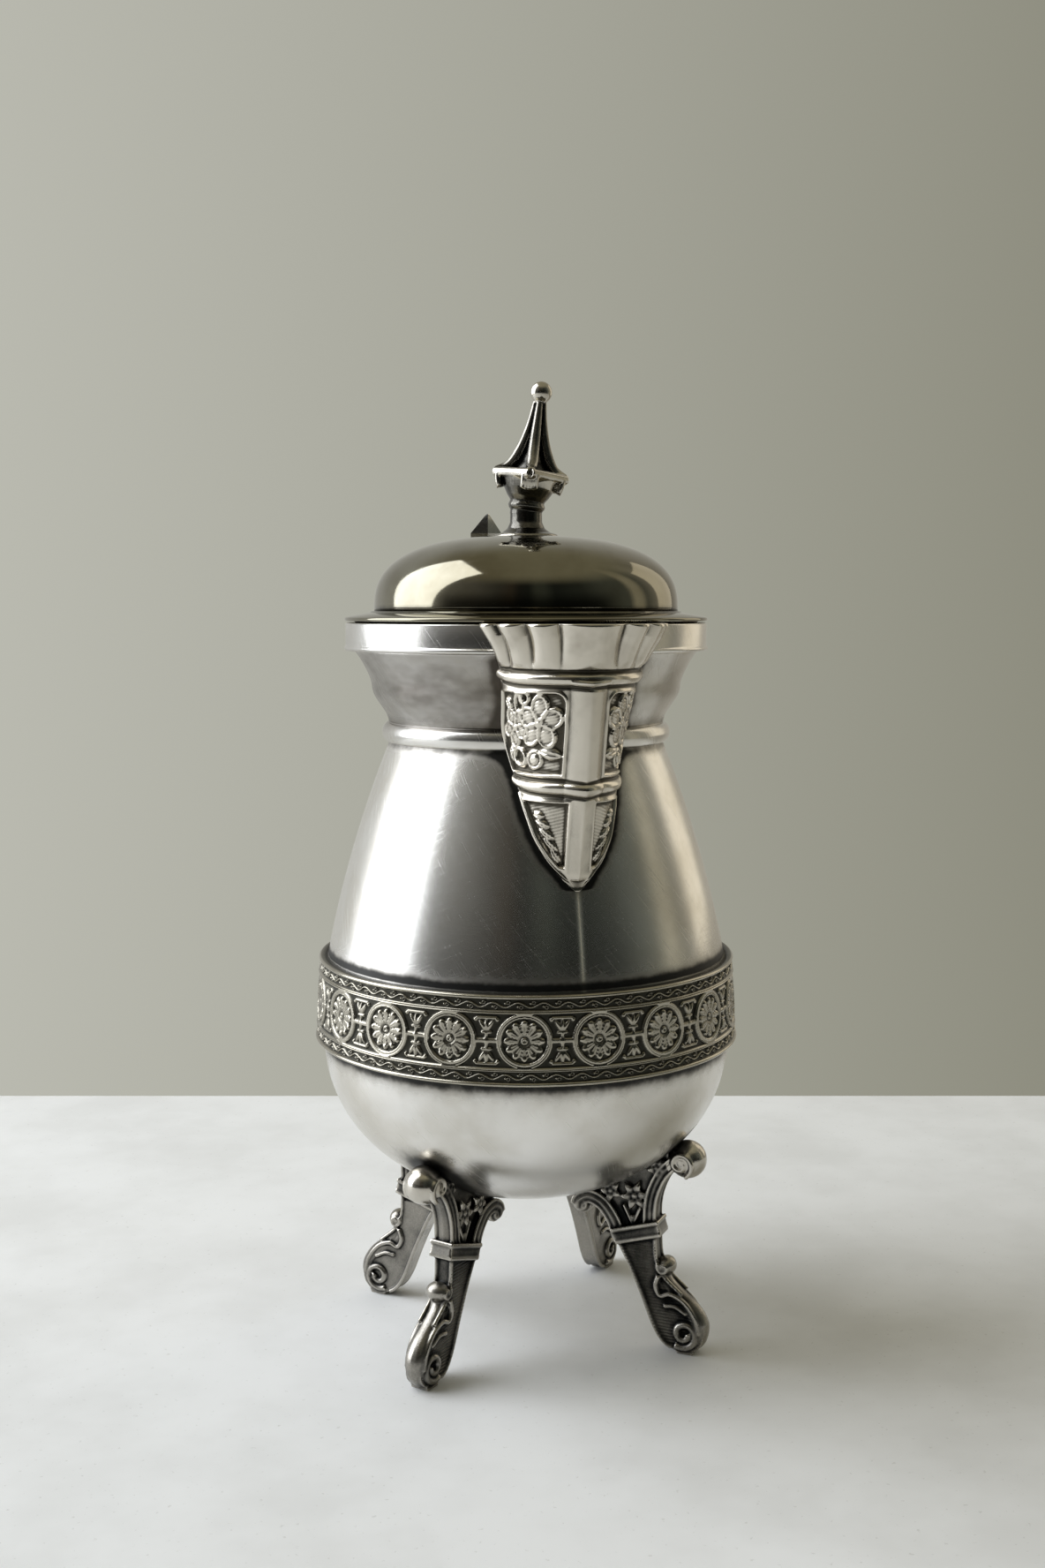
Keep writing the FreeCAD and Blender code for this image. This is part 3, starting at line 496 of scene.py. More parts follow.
def polished_silver_lid():
    """Plate of the lid, polished harder than the body.

    The eye sees a near mirror under a warm brown film, light scratches, and dark corners at the flange.
    """
    material = empty_material("polished_silver_lid")
    tree = material.node_tree
    place = about_axis(tree)
    clouds = add(tree, "ShaderNodeTexNoise", {
        "Vector": place, "Scale": 70.0, "Detail": 4.0, "Roughness": 0.6})
    cloudy = add(tree, "ShaderNodeMapRange", {0: clouds, 1: 0.3, 2: 0.75}, **SMOOTH)
    edge = ragged_tarnish(tree, place, 300.0, 0.5)
    grime = add(tree, "ShaderNodeMapRange", {0: edge, 1: 0.2, 2: 0.95, 4: 0.9}, **SMOOTH)
    colour = linear("#8d897a")
    for share, tint in ((cloudy, "#777160"), (grime, "#161614")):
        mixed = add(tree, "ShaderNodeMix", {0: share, 6: colour, 7: linear(tint)}, data_type="RGBA")
        colour = mixed.outputs[2]
    sheet = add(tree, "ShaderNodeVectorMath", {0: place, 1: (1, 1, 0)}, operation="MULTIPLY")
    fine = scratches(tree, sheet, 0.5, 0.3, 12.0)
    rough = 0.055
    for share in (clouds, fine):
        rough = add(tree, "ShaderNodeMath", {0: share, 1: 0.05, 2: rough}, operation="MULTIPLY_ADD")
    lines = turning_lines(tree, place, 0.6)
    height = add(tree, "ShaderNodeMath", {0: fine, 1: -0.4, 2: lines}, operation="MULTIPLY_ADD")
    finish_metal(tree, colour, rough, height, 0.0025)
    return material


CHASING_STRENGTH = 5.0      # chased lines against the casting's grain


def relief_silver(name, dark_hex, bright_hex, low, high, grain_mm, depth_mm, rib_mm=0.0, dull=0.42):
    """Rolled or cast relief, oxidised and then rubbed.

    The eye sees dark hollows, bright rubbed ridges with a brownish cast, and a fine grain; on the feet the
    same value also brings a painted highlight on the balls and a painted reflection on the plates. Values
    below low are dark and above high bright; rib_mm is the spacing of the chased lines where the mesh asks
    for them.
    """
    material = empty_material(name)
    tree = material.node_tree
    place = about_axis(tree)
    rub_and_sheen = add(tree, "ShaderNodeAttribute", attribute_name="rub_and_sheen").outputs["Fac"]
    grain = add(tree, "ShaderNodeTexNoise", {
        "Vector": place, "Scale": 1 / (grain_mm * MM), "Detail": 3.0, "Roughness": 0.6})
    clouds = add(tree, "ShaderNodeTexNoise", {
        "Vector": place, "Scale": 120.0, "Detail": 3.0, "Roughness": 0.6})
    swings = []
    for pattern, swing in ((grain, 0.10), (clouds, 0.30)):
        centred = add(tree, "ShaderNodeMath", {0: pattern, 1: 0.5}, operation="SUBTRACT")
        swings.append(add(tree, "ShaderNodeMath", {0: centred, 1: swing}, operation="MULTIPLY"))
    uneven = add(tree, "ShaderNodeMath", {0: swings[0], 1: swings[1]}, operation="ADD")
    uneven = add(tree, "ShaderNodeMath", {0: rub_and_sheen, 1: uneven}, operation="ADD")
    worn_and_lit = add(tree, "ShaderNodeMapRange", {0: uneven, 1: low, 2: high}, **SMOOTH)
    middle = add(tree, "ShaderNodeMix", {
        0: worn_and_lit, 6: linear(dark_hex), 7: linear(bright_hex)}, data_type="RGBA").outputs[2]
    brown = add(tree, "ShaderNodeMapRange", {0: clouds, 1: 0.45, 2: 0.8, 4: 0.35}, **SMOOTH)
    colour = add(tree, "ShaderNodeMix", {
        0: brown, 6: middle, 7: linear("#6e6250")}, data_type="RGBA", blend_type="MULTIPLY").outputs[2]
    rough = add(tree, "ShaderNodeMapRange", {0: worn_and_lit, 3: dull, 4: 0.18}, **SMOOTH)
    height = grain
    if rib_mm:
        level = add(tree, "ShaderNodeSeparateXYZ", {0: place}).outputs[2]
        turns = add(tree, "ShaderNodeMath", {0: level, 1: 2 * math.pi / (rib_mm * MM)}, operation="MULTIPLY")
        wave = add(tree, "ShaderNodeMath", {0: turns}, operation="SINE")
        ribs = add(tree, "ShaderNodeAttribute", attribute_name="ribs").outputs["Fac"]
        wave = add(tree, "ShaderNodeMath", {0: wave, 1: ribs}, operation="MULTIPLY")
        height = add(tree, "ShaderNodeMath", {
            0: wave, 1: CHASING_STRENGTH, 2: grain}, operation="MULTIPLY_ADD")
    finish_metal(tree, colour, rough, height, depth_mm)
    return material


def dull_nickel():
    """Drawn and turned nickel silver of the pin, nut and washer.

    The eye sees plain grey metal, a little rough, that was never polished.
    """
    material = empty_material("dull_nickel_silver")
    tree = material.node_tree
    place = about_axis(tree)
    grain = add(tree, "ShaderNodeTexNoise", {
        "Vector": place, "Scale": 1 / (0.4 * MM), "Detail": 3.0, "Roughness": 0.6})
    colour = add(tree, "ShaderNodeMix", {
        0: grain, 6: linear("#8d877c"), 7: linear("#a9a498")}, data_type="RGBA").outputs[2]
    rough = add(tree, "ShaderNodeMapRange", {0: grain, 1: 0.2, 2: 0.8, 3: 0.3, 4: 0.42}, **SMOOTH)
    finish_metal(tree, colour, rough, grain, 0.006)
    return material


def pale_table():
    """Painted table top.

    The eye sees a pale, faintly mottled paint, matt with a slight sheen.
    """
    material = empty_material("pale_painted_table")
    tree = material.node_tree
    place = add(tree, "ShaderNodeTexCoord").outputs["Object"]
    clouds = add(tree, "ShaderNodeTexNoise", {
        "Vector": place, "Scale": 22.0, "Detail": 4.0, "Roughness": 0.6})
    cloudy = add(tree, "ShaderNodeMapRange", {0: clouds, 1: 0.35, 2: 0.7, 4: 0.35}, **SMOOTH)
    specks = add(tree, "ShaderNodeTexNoise", {
        "Vector": place, "Scale": 900.0, "Detail": 2.0, "Roughness": 0.55})
    specks = add(tree, "ShaderNodeMapRange", {0: specks, 1: 0.66, 2: 0.74, 4: 0.25}, **SMOOTH)
    colour = tuple(bpy.context.scene.pitcher.stage.table_colour) + (1.0,)
    for share, tint in ((cloudy, "#c9c9c6"), (specks, "#9a9890")):
        mixed = add(tree, "ShaderNodeMix", {0: share, 6: colour, 7: linear(tint)}, data_type="RGBA")
        colour = mixed.outputs[2]
    bump = add(tree, "ShaderNodeBump", {"Height": clouds, "Strength": 0.3, "Distance": 0.4 * MM})
    shader = add(tree, "ShaderNodeBsdfPrincipled", {
        "Base Color": colour, "Roughness": 0.55, "Normal": bump.outputs[0]})
    add(tree, "ShaderNodeOutputMaterial", {0: shader.outputs[0]})
    return material


# What makes each material. A relief finish gives its dark and bright colours, the values of rubbing and
# painted sheen between which they change, and the width and depth of its grain in millimetres.
MAKERS = {
    "wall": satin_silver_plate,
    "lid": polished_silver_lid,
    "band": lambda: relief_silver("rolled_band_silver", "#3d3c36", "#b0ab9e", 0.02, 0.85, 0.20, 0.008),
    "spout": lambda: relief_silver("cast_spout_silver", "#4a463d", "#d0cabe", 0.28, 0.58, 0.25, 0.010),
    "cast": lambda: relief_silver("cast_foot_silver", "#1a1b1b", "#c9c4ba", 0.40, 0.80, 0.30, 0.018, 0.62),
    "knob": lambda: relief_silver(
        "cast_finial_silver", "#141514", "#c4bfb4", 0.40, 0.74, 0.30, 0.006, dull=0.2),
    "nickel": dull_nickel,
    "table": pale_table,
}
made_materials = {}


def material(key):
    """The material of this key, made once."""
    if key not in made_materials:
        made_materials[key] = MAKERS[key]()
    return made_materials[key]


def dress(thing, key, slot, body, *nodes):
    """Gives a finished piece its material and its body, and hides the CAD nodes it stands for; the slot is
    not used.
    """
    thing.data.materials.clear()
    thing.data.materials.append(material(key))
    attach(thing, body)
    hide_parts(*nodes)


# ------------------------------------------------------------------ vessel outlines

def wall_r(z):
    """Outside radius of the straight wall behind the band."""
    return BOWL_R + (SHOULDER_R - BOWL_R) * (z - BAND_BOTTOM) / BAND_HEIGHT


def cone_r(z):
    """Outside radius of the barrelled cone: a circle through foot, middle and neck."""
    middle = 0.5 * (BAND_TOP + NECK_FOOT) + 1.0
    (x1, y1), (x2, y2), (x3, y3) = (SHOULDER_R, BAND_TOP), (CONE_MID_R, middle), (NECK_R, NECK_FOOT)
    d = 2 * (x1 * (y2 - y3) + x2 * (y3 - y1) + x3 * (y1 - y2))
    s1, s2, s3 = x1 * x1 + y1 * y1, x2 * x2 + y2 * y2, x3 * x3 + y3 * y3
    cx = (s1 * (y2 - y3) + s2 * (y3 - y1) + s3 * (y1 - y2)) / d
    cy = (s1 * (x3 - x2) + s2 * (x1 - x3) + s3 * (x2 - x1)) / d
    radius = math.hypot(x1 - cx, y1 - cy)
    return cx + np.sqrt(radius ** 2 - (z - cy) ** 2)


def collar_outline(count):
    """Two coves with a rounded shoulder between, from the neck out to the rim."""
    tall = RIM_FOOT - COLLAR_FOOT
    marks = [(NECK_R, 0.0), (NECK_R + 0.6, 0.12), (COLLAR_R - 3.7, 0.38), (COLLAR_R - 3.0, 0.60),
             (COLLAR_R - 1.6, 0.82), (COLLAR_R, 1.0)]
    return through([(r, COLLAR_FOOT + share * tall) for r, share in marks], count)


def vessel_r(z):
    """Outside radius of the whole vessel above the band, for pieces that meet it."""
    z = np.asarray(z, dtype=float)
    collar = collar_outline(40)
    r = np.where(z < NECK_FOOT, cone_r(np.minimum(z, NECK_FOOT)), NECK_R)
    r = np.where(z > COLLAR_FOOT, np.interp(z, collar[:, 1], collar[:, 0]), r)
    return np.where(z > RIM_FOOT, RIM_R, r)


# ------------------------------------------------------------------ turned pieces

def turned_piece(name, outline, tarnish, opening=None):
    """A closed ring or shell from a closed (r, z) outline; opening(z) is the half angle left out in front."""
    outline = np.asarray(outline, dtype=float)
    segments = bpy.context.scene.pitcher.vessel.segments
    rows = len(outline)
    if opening is None:
        azimuth = np.linspace(0, 2 * math.pi, segments, endpoint=False)[None, :].repeat(rows, 0)
        faces = grid_faces(rows, segments, True, True)
    else:
        half = opening(outline[:, 1])[:, None]
        azimuth = SPOUT_TURN + half + np.linspace(0, 1, segments)[None, :] * (2 * math.pi - 2 * half)
        faces = grid_faces(rows, segments, True, False).tolist() + side_caps(rows, segments)
    r = outline[:, 0][:, None]
    z = outline[:, 1][:, None].repeat(segments, 1)
    points = polar(r, azimuth, z).reshape(-1, 3)
    mark = tarnish(r.repeat(segments, 1), azimuth, z).ravel()
    mesh = new_mesh(name, put(points), faces, {"tarnish": mark})
    weld(mesh)
    return new_object(name, mesh)


def there_and_back(outer, inner):
    """A closed outline: along the outer line and back along the inner one."""
    return np.vstack([outer, inner[::-1]])


def foot_azimuths():
    """Azimuths of the four feet in radians."""
    return [math.radians(a) for a in (FRONT_FOOT_AZ, -FRONT_FOOT_AZ, REAR_FOOT_AZ, -REAR_FOOT_AZ)]


def nearest_turn(azimuth, other):
    """Smallest angle between two azimuths."""
    return np.abs((azimuth - other + math.pi) % (2 * math.pi) - math.pi)


def wall_tarnish(r, azimuth, z):
    """Dark where cloths don't reach: beside the band, round the feet, the neck ring and the spout."""
    below = (0.75 * bell(z - BAND_BOTTOM, 2.2) + 0.33 * bell(z - BAND_BOTTOM, 5.5)) * (z < BAND_BOTTOM)
    above = 1.0 * bell(z - BAND_TOP, 1.8) * (z > BAND_TOP) + 0.35 * bell(z - BAND_TOP, 6.0)
    neck = 0.75 * bell(z - NECK_FOOT, 1.6) + 0.5 * bell(z - COLLAR_FOOT, 1.5)
    mark = below + above + neck
    for foot in foot_azimuths():
        side = r * nearest_turn(azimuth, foot)
        along = np.hypot(side, 0.5 * (r - 27.0))
        mark = mark + 1.5 * bell(along, 7.6) * smooth_mask(BAND_BOTTOM - z, 12.0, 20.0)
    half = np.interp(np.minimum(z, RIM_TOP), SPOUT_ROWS[:, 0], SPOUT_ROWS[:, 1])
    ahead = np.cos(azimuth) > 0
    side = np.abs(r * np.sin(np.where(ahead, azimuth - SPOUT_TURN, math.pi / 2))) - half
    mark = mark + 0.75 * bell(np.maximum(side, 0), 1.6) * (z > SPOUT_FOOT) * (z < RIM_FOOT) * ahead
    mark = mark + 0.45 * bell(np.maximum(side, 0), 4.2) * (z > SPOUT_FOOT) * (z < NECK_FOOT) * ahead
    on_collar = smooth_mask(z, NECK_FOOT, COLLAR_FOOT + 2) * (1 - smooth_mask(z, RIM_FOOT - 1.5, RIM_FOOT))
    mark = mark + 0.28 * bell(np.maximum(side, 0), 5.5) * ahead * on_collar
    streaks = 0.5 + 0.5 * np.sin(3.0 * azimuth + 0.55 * (z - COLLAR_FOOT)) * np.cos(5.2 * azimuth - 0.3 * z)
    mark = mark + 0.16 * streaks * on_collar
    tip = np.hypot(r * nearest_turn(azimuth, SPOUT_TURN), z - SPOUT_FOOT - 1.0)
    mark = mark + 0.8 * bell(tip, 2.6)
    return np.clip(mark, 0, 1.2)


def plain_tarnish(strength):
    """The same tarnish all over a piece."""
    return lambda r, azimuth, z: np.full(np.broadcast(r, azimuth, z).shape, strength)


def lid_tarnish(r, azimuth, z):
    """The film is darkest in the corner where the dome meets its flange and round the knob."""
    corner = 0.9 * bell(np.hypot(r - DOME_R, z - DOME_FOOT), 1.1)
    knob = 0.5 * bell(r - 6.0, 1.2) * (z > DOME_TOP - 3)
    return corner + knob


# Spout levels: height, half width where it meets the vessel, reach of the nose from the axis.
SPOUT_ROWS = np.array([
    (SPOUT_FOOT, 0.4, 34.3),
    (SPOUT_FOOT + 0.6, 1.15, 34.45),
    (SPOUT_FOOT + 1.6, 2.2, 34.7),
    (SPOUT_FOOT + 5.0, 5.0, 35.4),
    (SPOUT_FOOT + 9.5, 7.3, 36.5),
    (LOWER_MOULDING - 4.3, 8.6, 37.8),
    (LOWER_MOULDING + 0.7, 9.5, 39.3),
    (COLLAR_FOOT + 0.4, 11.6, 41.3),
    (UPPER_MOULDING + 0.5, 12.65, 43.0),
    (RIM_TOP - 3.8, 14.8, 44.5),
    (RIM_TOP, 17.0, 46.0)])


def pouring_way(z):
    """Half angle of the opening through the wall behind the spout, rounded at its floor."""
    width = np.interp(z, SPOUT_ROWS[:, 0], SPOUT_ROWS[:, 1]) - 1.4
    rise = np.sqrt(np.clip((z - CHANNEL_FLOOR) / 4.0, 0, 1))
    return np.arcsin(np.clip(rise * width / vessel_r(z), 0, 0.9))


def bowl_outline(wall):
    """The bowl from its pole out to the band and up to the seam, inside line matching outside."""
    lines = []
    for inset in (0.0, wall):
        curve = superellipse(BOWL_R - inset, BAND_BOTTOM - BOWL_BOTTOM - inset, BOWL_FULLNESS, 60)
        curve[:, 1] = BAND_BOTTOM - curve[:, 1]
        curve[0, 0] = 0.0
        straight = np.linspace(BAND_BOTTOM, SEAM, 8)[1:]
        up = np.stack([wall_r(straight) - inset, straight], axis=1)
        lines.append(np.vstack([curve, up]))
    return there_and_back(*lines)


def wall_outline(wall):
    """The coned wall from the seam to the neck."""
    lines = []
    for inset in (0.0, wall):
        low = np.linspace(SEAM, BAND_TOP, 6)
        cone = np.linspace(BAND_TOP, NECK_FOOT, 90)[1:]
        neck = np.linspace(NECK_FOOT, COLLAR_FOOT, 6)[1:]
        r = np.concatenate([wall_r(low), cone_r(cone), np.full(len(neck), NECK_R)]) - inset
        lines.append(np.stack([r, np.concatenate([low, cone, neck])], axis=1))
    return there_and_back(*lines)


def rim_outline():
    """Upright rim: a bead at its lower edge, a ledge on the collar, and a thin rolled top."""
    outer = [(COLLAR_R - 1.6, RIM_FOOT), (RIM_R - 0.1, RIM_FOOT), (RIM_R + 0.22, RIM_FOOT + 0.25),
             (RIM_R + 0.3, RIM_FOOT + 0.5), (RIM_R + 0.2, RIM_FOOT + 0.8), (RIM_R, RIM_FOOT + 0.95),
             (RIM_R, RIM_FOOT + 1.2), (RIM_R, RIM_TOP - 0.4), (RIM_R - 0.12, RIM_TOP - 0.1),
             (RIM_R - 0.3, RIM_TOP)]
    inner = [(COLLAR_R - 1.6, RIM_FOOT + 0.4), (COLLAR_R - 1.6, RIM_FOOT + 0.7),
             (COLLAR_R - 1.5, RIM_FOOT + 0.9), (COLLAR_R - 1.2, RIM_FOOT + 1.0),
             (RIM_R - 1.4, RIM_FOOT + 1.0), (RIM_R - 1.25, RIM_FOOT + 1.1),
             (RIM_R - 1.2, RIM_FOOT + 1.3), (RIM_R - 1.2, RIM_TOP - 0.4), (RIM_R - 1.1, RIM_TOP - 0.1),
             (RIM_R - 0.9, RIM_TOP)]
    return there_and_back(np.array(outer), np.array(inner))


def flange_outline():
    """Thin sloping flange with a rounded outer edge and a fine step round the dome."""
    inner = DOME_R - 1.0
    return np.array([
        (BEZEL_R - 1.0, LID_FOOT), (FLANGE_R - 0.25, LID_FOOT), (FLANGE_R - 0.05, LID_FOOT + 0.1),
        (FLANGE_R, LID_FOOT + 0.35), (FLANGE_R - 0.05, LID_FOOT + 0.6), (FLANGE_R - 0.25, LID_FOOT + 0.75),
        (DOME_R + 1.1, DOME_FOOT - 0.36), (DOME_R + 0.75, DOME_FOOT - 0.28),
        (DOME_R + 0.65, DOME_FOOT - 0.05), (DOME_R + 0.5, DOME_FOOT), (inner, DOME_FOOT),
        (inner, DOME_FOOT - 0.9)])


def dome_outline():
    """High-shouldered dome, closed at its pole, outside and inside."""
    wall, fullness = 1.0, 2.65
    outer = superellipse(DOME_R, DOME_TOP - DOME_FOOT, fullness, 70)
    inner = superellipse(DOME_R - wall, DOME_TOP - DOME_FOOT - wall, fullness, 70)
    for curve in (outer, inner):
        curve[:, 1] += DOME_FOOT
        curve[0, 0] = 0.0
    return there_and_back(outer, inner)


def ring_outline(foot_r, middle, half, proud):
    """Half-round moulding round a straight neck."""
    t = np.linspace(-0.5 * math.pi, 0.5 * math.pi, 13)
    bulge = np.stack([foot_r + proud * np.cos(t), middle + half * np.sin(t)], axis=1)
    back = np.array([(foot_r - 0.3, middle + half), (foot_r - 0.3, middle - half)])
    return np.vstack([bulge, back])


class PITCHER_OT_vessel(bpy.types.Operator):
    """Turns the bowl, the coned wall, the collar, the rim and the neck ring."""
    bl_idname = "pitcher.vessel"
    bl_label = "Turn the vessel"

    def execute(self, context):
        wall = context.scene.pitcher.vessel.wall / MM
        bowl = turned_piece("bowl", bowl_outline(wall), wall_tarnish)
        dress(bowl, "wall", "wall_silver", "vessel", "bowl_lower")
        cone = turned_piece("coned_wall", wall_outline(wall), wall_tarnish, pouring_way)
        dress(cone, "wall", "wall_silver", "vessel", "body_upper")
        outer = collar_outline(48)
        inner = outer - np.array([wall, 0.0])
        collar = turned_piece("collar_shell", there_and_back(outer, inner), wall_tarnish, pouring_way)
        dress(collar, "wall", "wall_silver", "vessel", "collar")
        rim = turned_piece("rim", rim_outline(), wall_tarnish, pouring_way)
        dress(rim, "wall", "wall_silver", "vessel", "rim_band")
        middle = 0.5 * (NECK_FOOT + COLLAR_FOOT)
        moulding = ring_outline(NECK_R, middle, 0.5 * NECK_RING_H, NECK_RING_PROUD)
        ring = turned_piece("neck_bead", moulding, plain_tarnish(0.1), behind_spout)
        dress(ring, "wall", "wall_silver", "vessel", "neck_ring")
        return {"FINISHED"}


def behind_spout(z):
    """The neck ring stops where the spout's cheeks meet the vessel."""
    width = np.interp(z, SPOUT_ROWS[:, 0], SPOUT_ROWS[:, 1]) - 0.8
    return np.arcsin(np.clip(width / NECK_R, 0, 0.9))


class PITCHER_OT_lid(bpy.types.Operator):
    """Turns the lid's dome, flange and bezel."""
    bl_idname = "pitcher.lid"
    bl_label = "Turn the lid"

    def execute(self, context):
        dome = turned_piece("dome", dome_outline(), lid_tarnish)
        dress(dome, "lid", "lid_silver", "lid", "lid_dome")
        flange = turned_piece("flange", flange_outline(), lid_tarnish)
        dress(flange, "lid", "lid_silver", "lid", "lid_flange")
        low, high = BEZEL_LOW[2], BEZEL_HIGH[2]
        sleeve = [(BEZEL_R - 0.8, low), (BEZEL_R - 0.2, low), (BEZEL_R, low + 0.2), (BEZEL_R, high),
                  (BEZEL_R - 1.0, high), (BEZEL_R - 1.0, low + 0.2)]
        bezel = turned_piece("bezel", sleeve, plain_tarnish(0.3))
        dress(bezel, "lid", "lid_silver", "lid", "lid_bezel")
        return {"FINISHED"}


# ------------------------------------------------------------------ relief drawing

def local(u, v, cu, cv, angle):
    """Coordinates along and across a direction about a centre."""
    du, dv = u - cu, v - cv
    c, s = math.cos(angle), math.sin(angle)
    return du * c + dv * s, -du * s + dv * c


def leaf(u, v, cu, cv, angle, length, width):
    """Pointed leaf with a sunk midrib."""
    a, b = local(u, v, cu, cv, angle)
    taper = np.clip(1 - (a / (0.5 * length)) ** 2, 0, 1)
    edge = 0.5 * width * taper + 1e-6
    body = np.sqrt(np.clip(1 - (b / edge) ** 2, 0, 1)) * (taper > 0)
    return body * (0.75 + 0.25 * taper) - 0.35 * bell(b, 0.16) * (taper > 0.1)


def loop(u, v, cu, cv, angle, long, wide, thick):
    """Open oval ring, as of a curled petal."""
    a, b = local(u, v, cu, cv, angle)
    away = np.abs(np.hypot(a / long, b / wide) - 1) * min(long, wide)
    return round_ridge(away, thick)


def lobe(u, v, cu, cv, angle, long, wide):
    """Full rounded lobe."""
    a, b = local(u, v, cu, cv, angle)
    return np.sqrt(np.clip(1 - (a / long) ** 2 - (b / wide) ** 2, 0, 1))


def blossom(u, v, cu, cv, radius, petals, turn):
    """Open flower: full petals with raised rims about a round boss."""
    height = np.zeros_like(u)
    for k in range(petals):
        angle = turn + 2 * math.pi * k / petals
        pu, pv = cu + 0.58 * radius * math.cos(angle), cv + 0.58 * radius * math.sin(angle)
        rim = 0.95 * loop(u, v, pu, pv, angle, 0.44 * radius, 0.35 * radius, 0.09 * radius)
        petal = 0.85 * lobe(u, v, pu, pv, angle, 0.48 * radius, 0.40 * radius)
        height = np.maximum(np.maximum(height, rim), petal)
    return np.maximum(height, 1.1 * lobe(u, v, cu, cv, 0.0, 0.2 * radius, 0.2 * radius))


# ------------------------------------------------------------------ band

def rosette(u, v):
    """Flat ring round twelve full petals with pearl tips and a small boss; radius about five millimetres."""
    r = np.hypot(u, v)
    angle = np.arctan2(v, u)
    ring = 0.80 * smooth_mask(r, 4.0, 4.14) * (1 - smooth_mask(r, 4.92, 5.06))
    ring = ring + 0.16 * bell(r - 4.16, 0.12) * (r > 4.0) + 0.16 * bell(r - 4.88, 0.12) * (r < 5.06)
    sector = math.pi / 6
    across = r * np.sin((angle + 0.5 * sector) % sector - 0.5 * sector)
    along = r * np.cos((angle + 0.5 * sector) % sector - 0.5 * sector)
    pearl = 0.95 * np.sqrt(np.clip(1 - ((along - 3.2) ** 2 + across ** 2) / 0.62 ** 2, 0, 1))
    half = 0.08 + 0.235 * r
    petal = 0.42 + 0.30 * np.sqrt(np.clip(1 - (across / half) ** 2, 0, 1))
    petal = petal * smooth_mask(half - np.abs(across), 0, 0.1)
    petal = petal * smooth_mask(r, 0.95, 1.2) * (1 - smooth_mask(r, 3.0, 3.25))
    petal = petal - 0.14 * bell(across, 0.08) * (r < 3.1)
    boss = 0.95 * np.sqrt(np.clip(1 - (r / 0.72) ** 2, 0, 1))
    collar = 0.5 * round_ridge(r - 1.0, 0.16)
    dimple = 0.75 * bell(r, 0.26)
    return np.maximum.reduce([ring, pearl, petal, boss - dimple, collar])


def palmette(u, v):
    """Small fan of three drooping lobes with a flat foot and spread tips, standing on v = 0."""
    height = np.zeros_like(u)
    for lean in (-0.55, 0.0, 0.55):
        cu, cv = 1.35 * math.sin(lean), 1.5 + 0.55 * math.cos(lean)
        height = np.maximum(height, 0.8 * lobe(u, v, cu, cv, 0.5 * math.pi - lean, 1.25, 0.42))
    foot = 0.7 * round_ridge(np.hypot(np.maximum(np.abs(u) - 0.75, 0), v - 0.75), 0.32)
    tips = 0.75 * round_ridge(np.hypot(np.maximum(np.abs(u) - 1.75, 0), v - 3.35), 0.3)
    curl = np.maximum(0.8 * lobe(u, v, -2.0, 3.0, 0, 0.42, 0.42), 0.8 * lobe(u, v, 2.0, 3.0, 0, 0.42, 0.42))
    return np.maximum.reduce([height, foot, tips, curl])


def middle_relief(u, v, pitch):
    """Rosette in the centre of a tile, halves of the bars and palmettes at its two sides."""
    height = rosette(u, v)
    for side in (-0.5, 0.5):
        du = u - side * pitch
        bar = 0.7 * smooth_mask(0.48 - np.abs(v), 0, 0.12) * (np.hypot(u, v) > 4.8)
        upright = 0.7 * smooth_mask(0.3 - np.abs(du), 0, 0.1) * (np.abs(v) < 1.3)
        cross = np.maximum(0.85 * lobe(du, v, 0, 0, 0, 0.75, 0.75), upright)
        fans = np.maximum(palmette(du, v - 0.75), palmette(du, -v - 0.75))
        shown = (np.abs(du) < 3.0) * (np.hypot(u, v) > 4.95)
        height = np.maximum(height, np.maximum(bar, np.maximum(cross, fans)) * shown)
    return height


def border_relief(u, v, pitch, half):
    """Wavy vine with a bud in each bend; v is zero on the border's middle line."""
    wave = 0.42 * np.sin(2 * math.pi * 3 * u / pitch)
    vine = 0.75 * round_ridge(v - wave, 0.17)
    step = pitch / 6
    bend = (u - 0.25 * pitch / 3) / step
    up = np.where(np.round(bend).astype(int) % 2 == 0, -1.0, 1.0)
    du = (bend - np.round(bend)) * step
    bud = 0.8 * np.sqrt(np.clip(1 - (du ** 2 + (v - up * 0.28) ** 2) / 0.24 ** 2, 0, 1))
    curl = 0.55 * round_ridge(np.hypot(du - 0.55, v - up * 0.42) - 0.28, 0.10)
    return np.maximum.reduce([vine, bud, curl]) * (np.abs(v) < half)


def tile_mesh(name, low, high, columns, rows, ground, relief, pitch_angle, draw):
    """One repeat of a strip of band as a closed loop in section, open at its two sides."""
    z = np.linspace(low, high, rows)
    azimuth = np.linspace(-0.5 * pitch_angle, 0.5 * pitch_angle, columns)
    zz, aa = np.meshgrid(z, azimuth, indexing="ij")
    base = wall_r(zz)
    height = draw(aa * (base + ground), zz)
    height[:, -1] = height[:, 0]    # the next tile starts where this one ends
    r = base + ground + relief * height
    front = polar(r, aa, zz)
    back = np.array([high, low])[:, None].repeat(columns, 1)
    rear = polar(wall_r(back) - 0.02, azimuth[None, :].repeat(2, 0), back)
    points = np.vstack([front, rear]).reshape(-1, 3)
    rub_and_sheen = np.concatenate([np.clip(height, 0, 1).ravel(), np.zeros(2 * columns)])
    return new_mesh(name, points * MM, grid_faces(rows + 2, columns, True, False), {"rub_and_sheen": rub_and_sheen})


